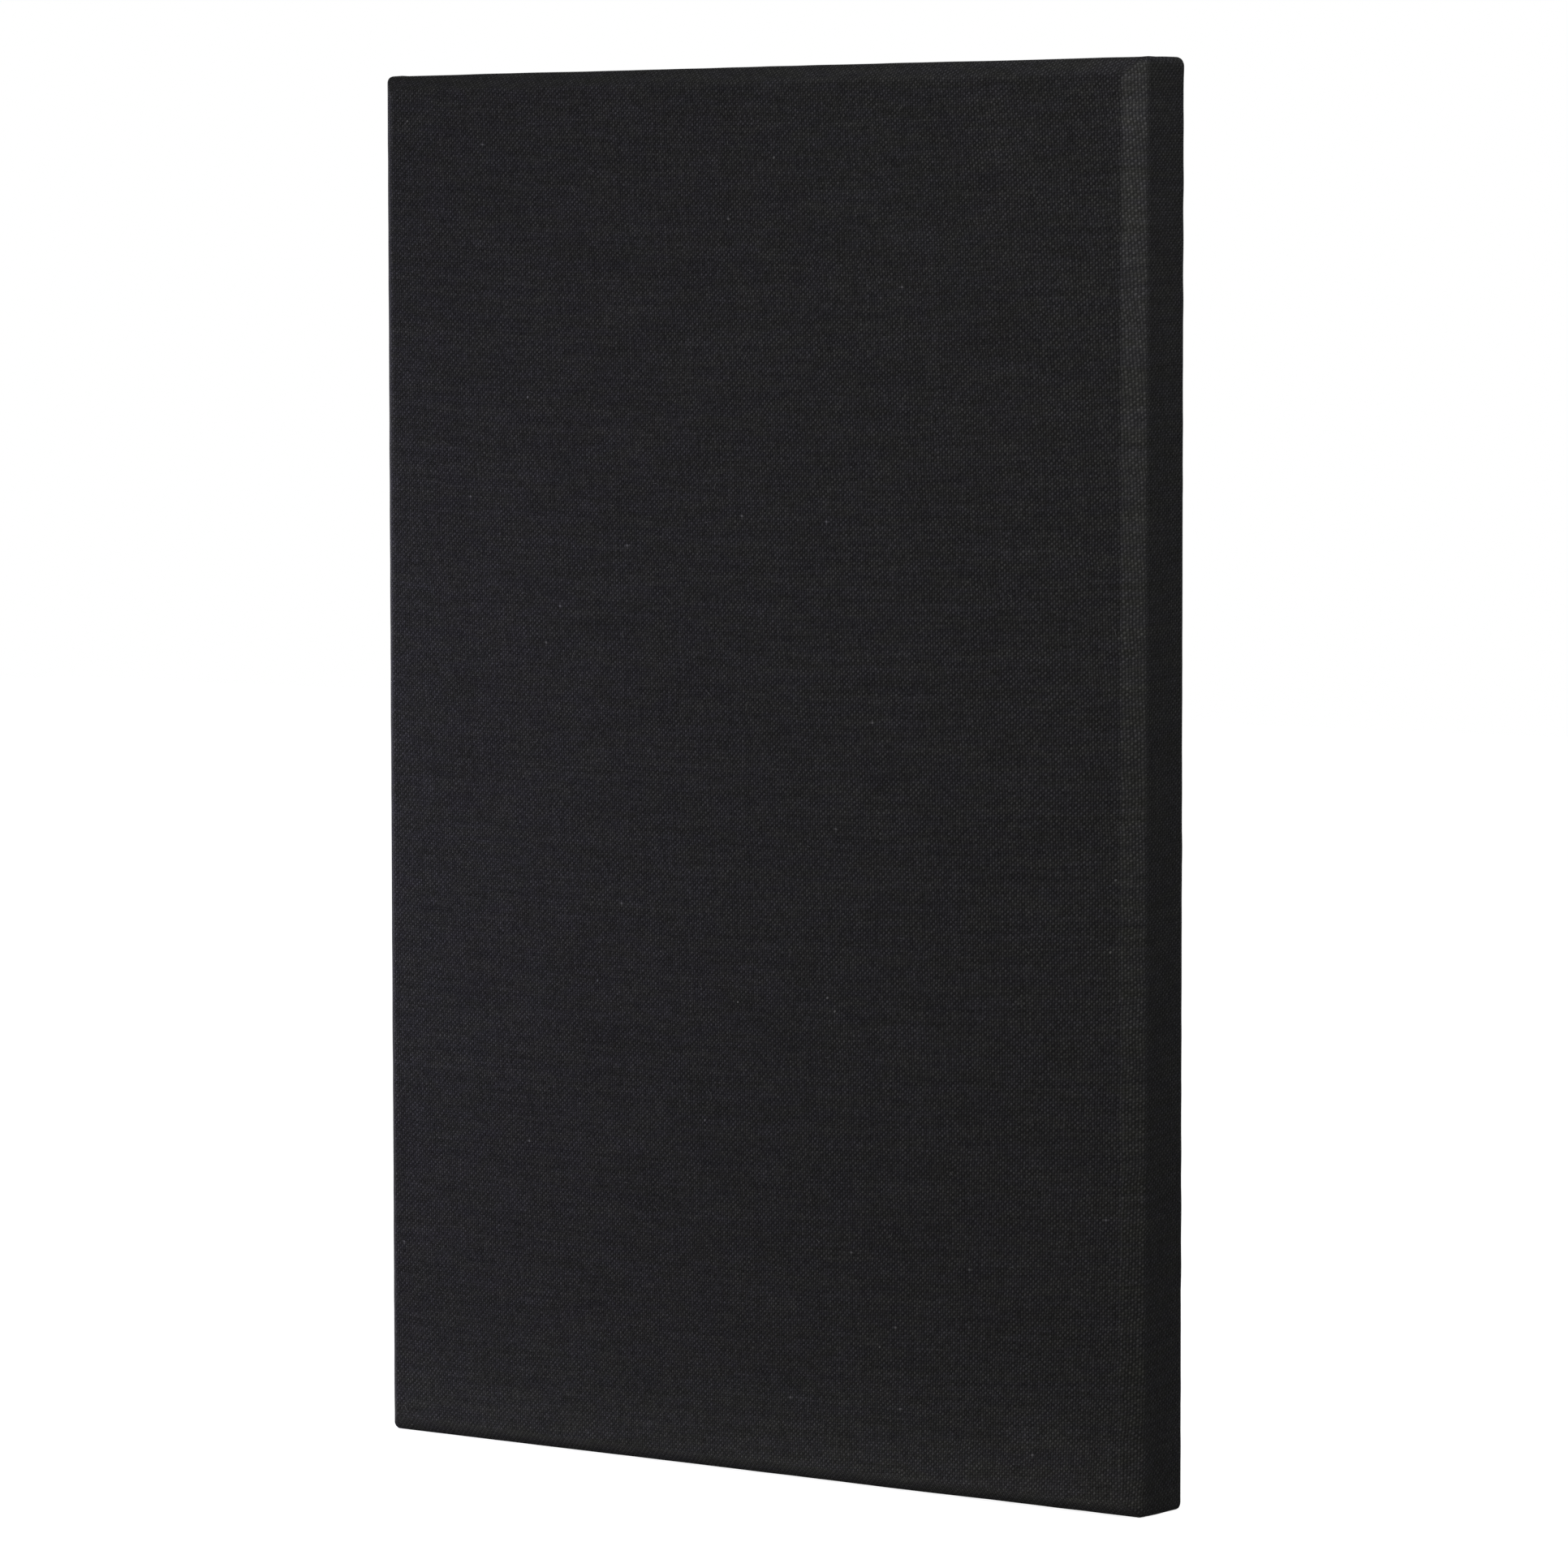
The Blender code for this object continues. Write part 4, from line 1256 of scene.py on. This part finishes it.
@dataclass
class StrayFibres:
    """Pale fibres that have caught on the cloth: a few where they show most, and a random scatter.

    A placed one is its x, its z, its length in millimetres and its angle.
    """

    placed: tuple[tuple[float, float, float, float], ...] = (
        (-0.1399, 0.5302, 8.0, 1.2), (0.2890, 0.5569, 5.0, 1.9), (-0.2655, 0.6575, 7.0, 0.5),
        (0.2870, 0.7860, 5.0, 1.4), (-0.0616, 0.5685, 5.0, 2.3), (-0.1730, 0.4717, 4.5, 0.2),
        (-0.2868, 0.0164, 5.0, 2.1), (-0.2880, 0.0190, 4.0, 0.9), (-0.0281, 0.2461, 6.0, 1.7),
        (0.0023, 0.5017, 5.0, 1.5))
    scattered: int = 70
    margin: float = 20.0 * MM
    radius: float = 0.09 * MM

    def build(self, cover: CoverCloth, finish: Material) -> None:
        """Make them one piece of thin tubes that lie on the front and bow a little.

        A fibre's path is a straight run with a bow of half a sine and a lift of a quarter millimetre.

        Args:
            cover: the cloth that they lie on.
            finish: their material.
        """
        draw = np.random.default_rng(8)
        half_x, half_z = cover.half - self.margin
        count = self.scattered
        spread = np.stack([draw.uniform(-half_x, half_x, count),
                           cover.middle_z + draw.uniform(-half_z, half_z, count),
                           draw.uniform(1.5, 5.0, count), draw.uniform(0.0, math.pi, count)], axis=-1)
        share = np.linspace(0.0, 1.0, 12)
        parts = []
        for x, z, length, angle in np.concatenate([np.array(self.placed), spread]):
            bow = draw.uniform(-0.22, 0.22) * length * MM
            run = (share - 0.5) * length * MM
            side = bow * np.sin(math.pi * share) + 0.08 * bow * np.sin(3 * math.tau * share)
            lift = 0.10 * MM + 0.22 * MM * np.sin(math.pi * share)
            path = spots(x + run * math.cos(angle) - side * math.sin(angle), cover.front_y - lift,
                         z + run * math.sin(angle) + side * math.cos(angle))
            parts.append(carried(path, ALONG_Y, round_section(self.radius, 6)))
        Surface.joined(parts).piece("stray_fibres", finish, Body.PANEL)


class InnerParts:
    """What lies inside the cloth: the frame, its joints and the absorber, which keep their solids."""

    def dress(self, nodes: dict[str, object], steel: Material, screw: Material) -> None:
        """Give each kept solid its finish.

        Args:
            nodes: the solids by name.
            steel: the corner plates' finish.
            screw: the screws'.
        """
        wool = FeltedFibre("mineral_wool_fibre", (0.30, 0.25, 0.12), (0.52, 0.47, 0.28), 260.0, 0.6 * MM)
        tissue = FeltedFibre("black_glass_tissue", (0.010, 0.010, 0.011), (0.035, 0.035, 0.037), 900.0,
                             0.15 * MM)
        by_word = (("stile", PlanedPine(Grain.Z).build()), ("rail", PlanedPine(Grain.X).build()),
                   ("absorber_core", wool.build()), ("absorber_facing", tissue.build()),
                   ("corner_plate", steel), ("screw", screw))
        for name in nodes:
            found = [finish for word, finish in by_word if word in name]
            item = bpy.data.objects[name]
            if found and not item.hide_render:
                item.data.materials.clear()
                item.data.materials.append(found[-1])
                LOG.info("%s: %s", name, found[-1].name)


# The studio


@dataclass(frozen=True)
class Softbox:
    """A rectangular lamp: where it stands, what it looks at, its width and height, watts and colour."""

    name: str
    place: Triple
    aim: Triple
    size: tuple[float, float]
    power: float
    colour: Colour = (1.0, 1.0, 1.0)

    def build(self) -> None:
        """Hang the lamp, out of the camera's sight."""
        lamp = bpy.data.lights.new(self.name, "AREA")
        lamp.shape = "RECTANGLE"
        lamp.size, lamp.size_y = self.size
        lamp.energy = self.power
        lamp.color = self.colour
        item = bpy.data.objects.new(self.name, lamp)
        item.location = self.place
        item.rotation_euler = (Vector(self.aim) - Vector(self.place)).to_track_quat("-Z", "Y").to_euler()
        item.visible_camera = False
        bpy.context.scene.collection.objects.link(item)


@dataclass
class Studio:
    """A white floor and surround, large soft lamps and a camera at the photo's angle.

    The foot's bounce is what the white floor in front of the panel sends up: less than the floor's own
    white, over a strip 60 mm wide.
    """

    floor_size: float = 14.0
    floor_grey: float = 0.36
    surround: float = 0.05
    azimuth: float = 36.47
    elevation: float = 3.93
    roll: float = -0.09
    focal_pixels: float = 8650.0
    distance: float = 4.572
    aim: Triple = (0.0099, -0.004, 0.4495)
    lamps: tuple[Softbox, ...] = (
        Softbox("key", (1.35, -1.35, 1.65), (0.1, -0.03, 0.60), (0.7, 0.7), 9.4),
        Softbox("upper_key", (0.95, -0.85, 1.85), (0.2, -0.03, 0.70), (0.5, 0.5), 13.5),
        Softbox("left_edge", (-0.80, -0.42, 0.40), (-0.25, -0.03, 0.42), (0.3, 0.6), 4.9, (0.84, 0.80, 1.0)),
        Softbox("left_fill", (-1.25, -1.05, 0.45), (-0.15, -0.03, 0.45), (0.6, 0.6), 2.1, (0.48, 0.42, 1.0)),
        Softbox("low_front", (0.45, -1.85, 0.12), (0.15, -0.03, 0.25), (0.8, 0.3), 6.4, (1.0, 0.98, 0.68)),
        Softbox("foot_bounce", (0.0, -0.062, 0.002), (0.0, -0.05, 0.30), (0.68, 0.06), 0.10,
                (1.0, 0.99, 0.93)),
        Softbox("rear_key", (-1.5, 1.15, 1.55), (0.0, 0.03, 0.45), (0.5, 0.5), 20.0),
        Softbox("rear_fill", (-0.3, 2.4, 0.8), (0.0, 0.03, 0.45), (1.2, 1.2), 9.0))

    def world(self) -> None:
        """White where the camera or a reflection looks, and a plain grey light on the object."""
        world = bpy.data.worlds.new("surround")
        bpy.context.scene.world = world
        nodes = Nodes(world)
        background = nodes.tree.nodes["Background"].inputs
        background["Color"].default_value = (1.0, 1.0, 1.0, 1.0)
        nodes.put(background["Strength"], nodes.between(nodes.seen_directly(), self.surround, 1.0))

    def floor(self) -> None:
        """A floor that renders white and still takes the object's shadow.

        Near the panel part of the white is the lamps' light, which the shadow takes away. The glow
        rises to full white further out, where the lamps fall off.
        """
        half = self.floor_size / 2
        mesh = bpy.data.meshes.new("studio_floor")
        corners = [(-half, -half, 0), (half, -half, 0), (half, half, 0), (-half, half, 0)]
        mesh.from_pydata(corners, [], [(0, 1, 2, 3)])
        item = bpy.data.objects.new("studio_floor", mesh)
        bpy.context.scene.collection.objects.link(item)
        nodes = material("studio_floor", Roughness=0.9, Specular_IOR_Level=0.0)
        nodes.put(nodes.shader("Base Color"), (*[self.floor_grey] * 3, 1.0))
        away = nodes.node("VectorMath", {0: nodes.place()}, operation="LENGTH").outputs["Value"]
        strength = nodes.times(nodes.seen_directly(), nodes.rise(away, 0.4, 1.6, 0.88, 1.0))
        glow = nodes.node("Emission", {"Color": (1.0, 1.0, 1.0, 1.0), "Strength": strength})
        lit = nodes.tree.nodes["Principled BSDF"].outputs[0]
        both = nodes.node("AddShader", {0: lit, 1: glow.outputs[0]})
        nodes.put(nodes.tree.nodes["Material Output"].inputs[0], both.outputs[0])
        mesh.materials.append(nodes.owner)

    def camera(self) -> None:
        """The photo's camera, from the fit to the panel's outline."""
        turn, tilt, roll = (math.radians(angle) for angle in (self.azimuth, self.elevation, self.roll))
        back = Vector((math.sin(turn) * math.cos(tilt), -math.cos(turn) * math.cos(tilt), math.sin(tilt)))
        right = Vector((math.cos(turn), math.sin(turn), 0.0))
        up = back.cross(right)
        aside, depth, level = self.aim
        data = bpy.data.cameras.new("camera")
        data.sensor_fit = "HORIZONTAL"
        data.sensor_width = SENSOR_WIDTH
        data.lens = self.focal_pixels / PHOTO_PIXELS * SENSOR_WIDTH
        data.clip_end = 60.0
        item = bpy.data.objects.new("camera", data)
        matrix = Matrix((right * math.cos(roll) + up * math.sin(roll),
                         up * math.cos(roll) - right * math.sin(roll), back)).transposed().to_4x4()
        matrix.translation = right * aside + Vector((0.0, depth, level)) + back * self.distance
        item.matrix_world = matrix
        bpy.context.scene.collection.objects.link(item)
        bpy.context.scene.camera = item

    def build(self) -> None:
        """Set the studio up."""
        bpy.context.scene.view_settings.view_transform = "Standard"
        self.world()
        self.floor()
        for lamp in self.lamps:
            lamp.build()
        self.camera()


def main() -> None:
    """Load the frame, make the pieces from the front to the back, and set up the studio."""
    logging.basicConfig(level=logging.INFO, format="%(message)s")
    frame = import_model()

    cover = CoverCloth()
    cover.build(WovenCloth().build())
    StrayFibres().build(cover, Fluff().build())
    staples = Staples()
    DustCloth().build(PointBondedCloth().build(), staples.places[:, :2])
    plate = ZincPlate("zinc_plated_plate", (0.42, 0.42, 0.41), (0.66, 0.66, 0.65), 0.36).build()
    wire = ZincPlate("zinc_plated_wire", (0.45, 0.45, 0.44), (0.70, 0.70, 0.69), 0.30).build()
    screw = ZincPlate("zinc_plated_screw", (0.50, 0.47, 0.38), (0.72, 0.69, 0.58), 0.30).build()
    staples.build(wire)
    for side in Side:
        Hanger(side).build(plate, wire, screw)
    rubber = Rubber().build()
    for level in ("bottom", "top"):
        for side in Side:
            WallBumper(level, side).build(rubber)
    InnerParts().dress(frame["nodes"], plate, screw)
    Studio().build()


if __name__ == "__main__":
    main()
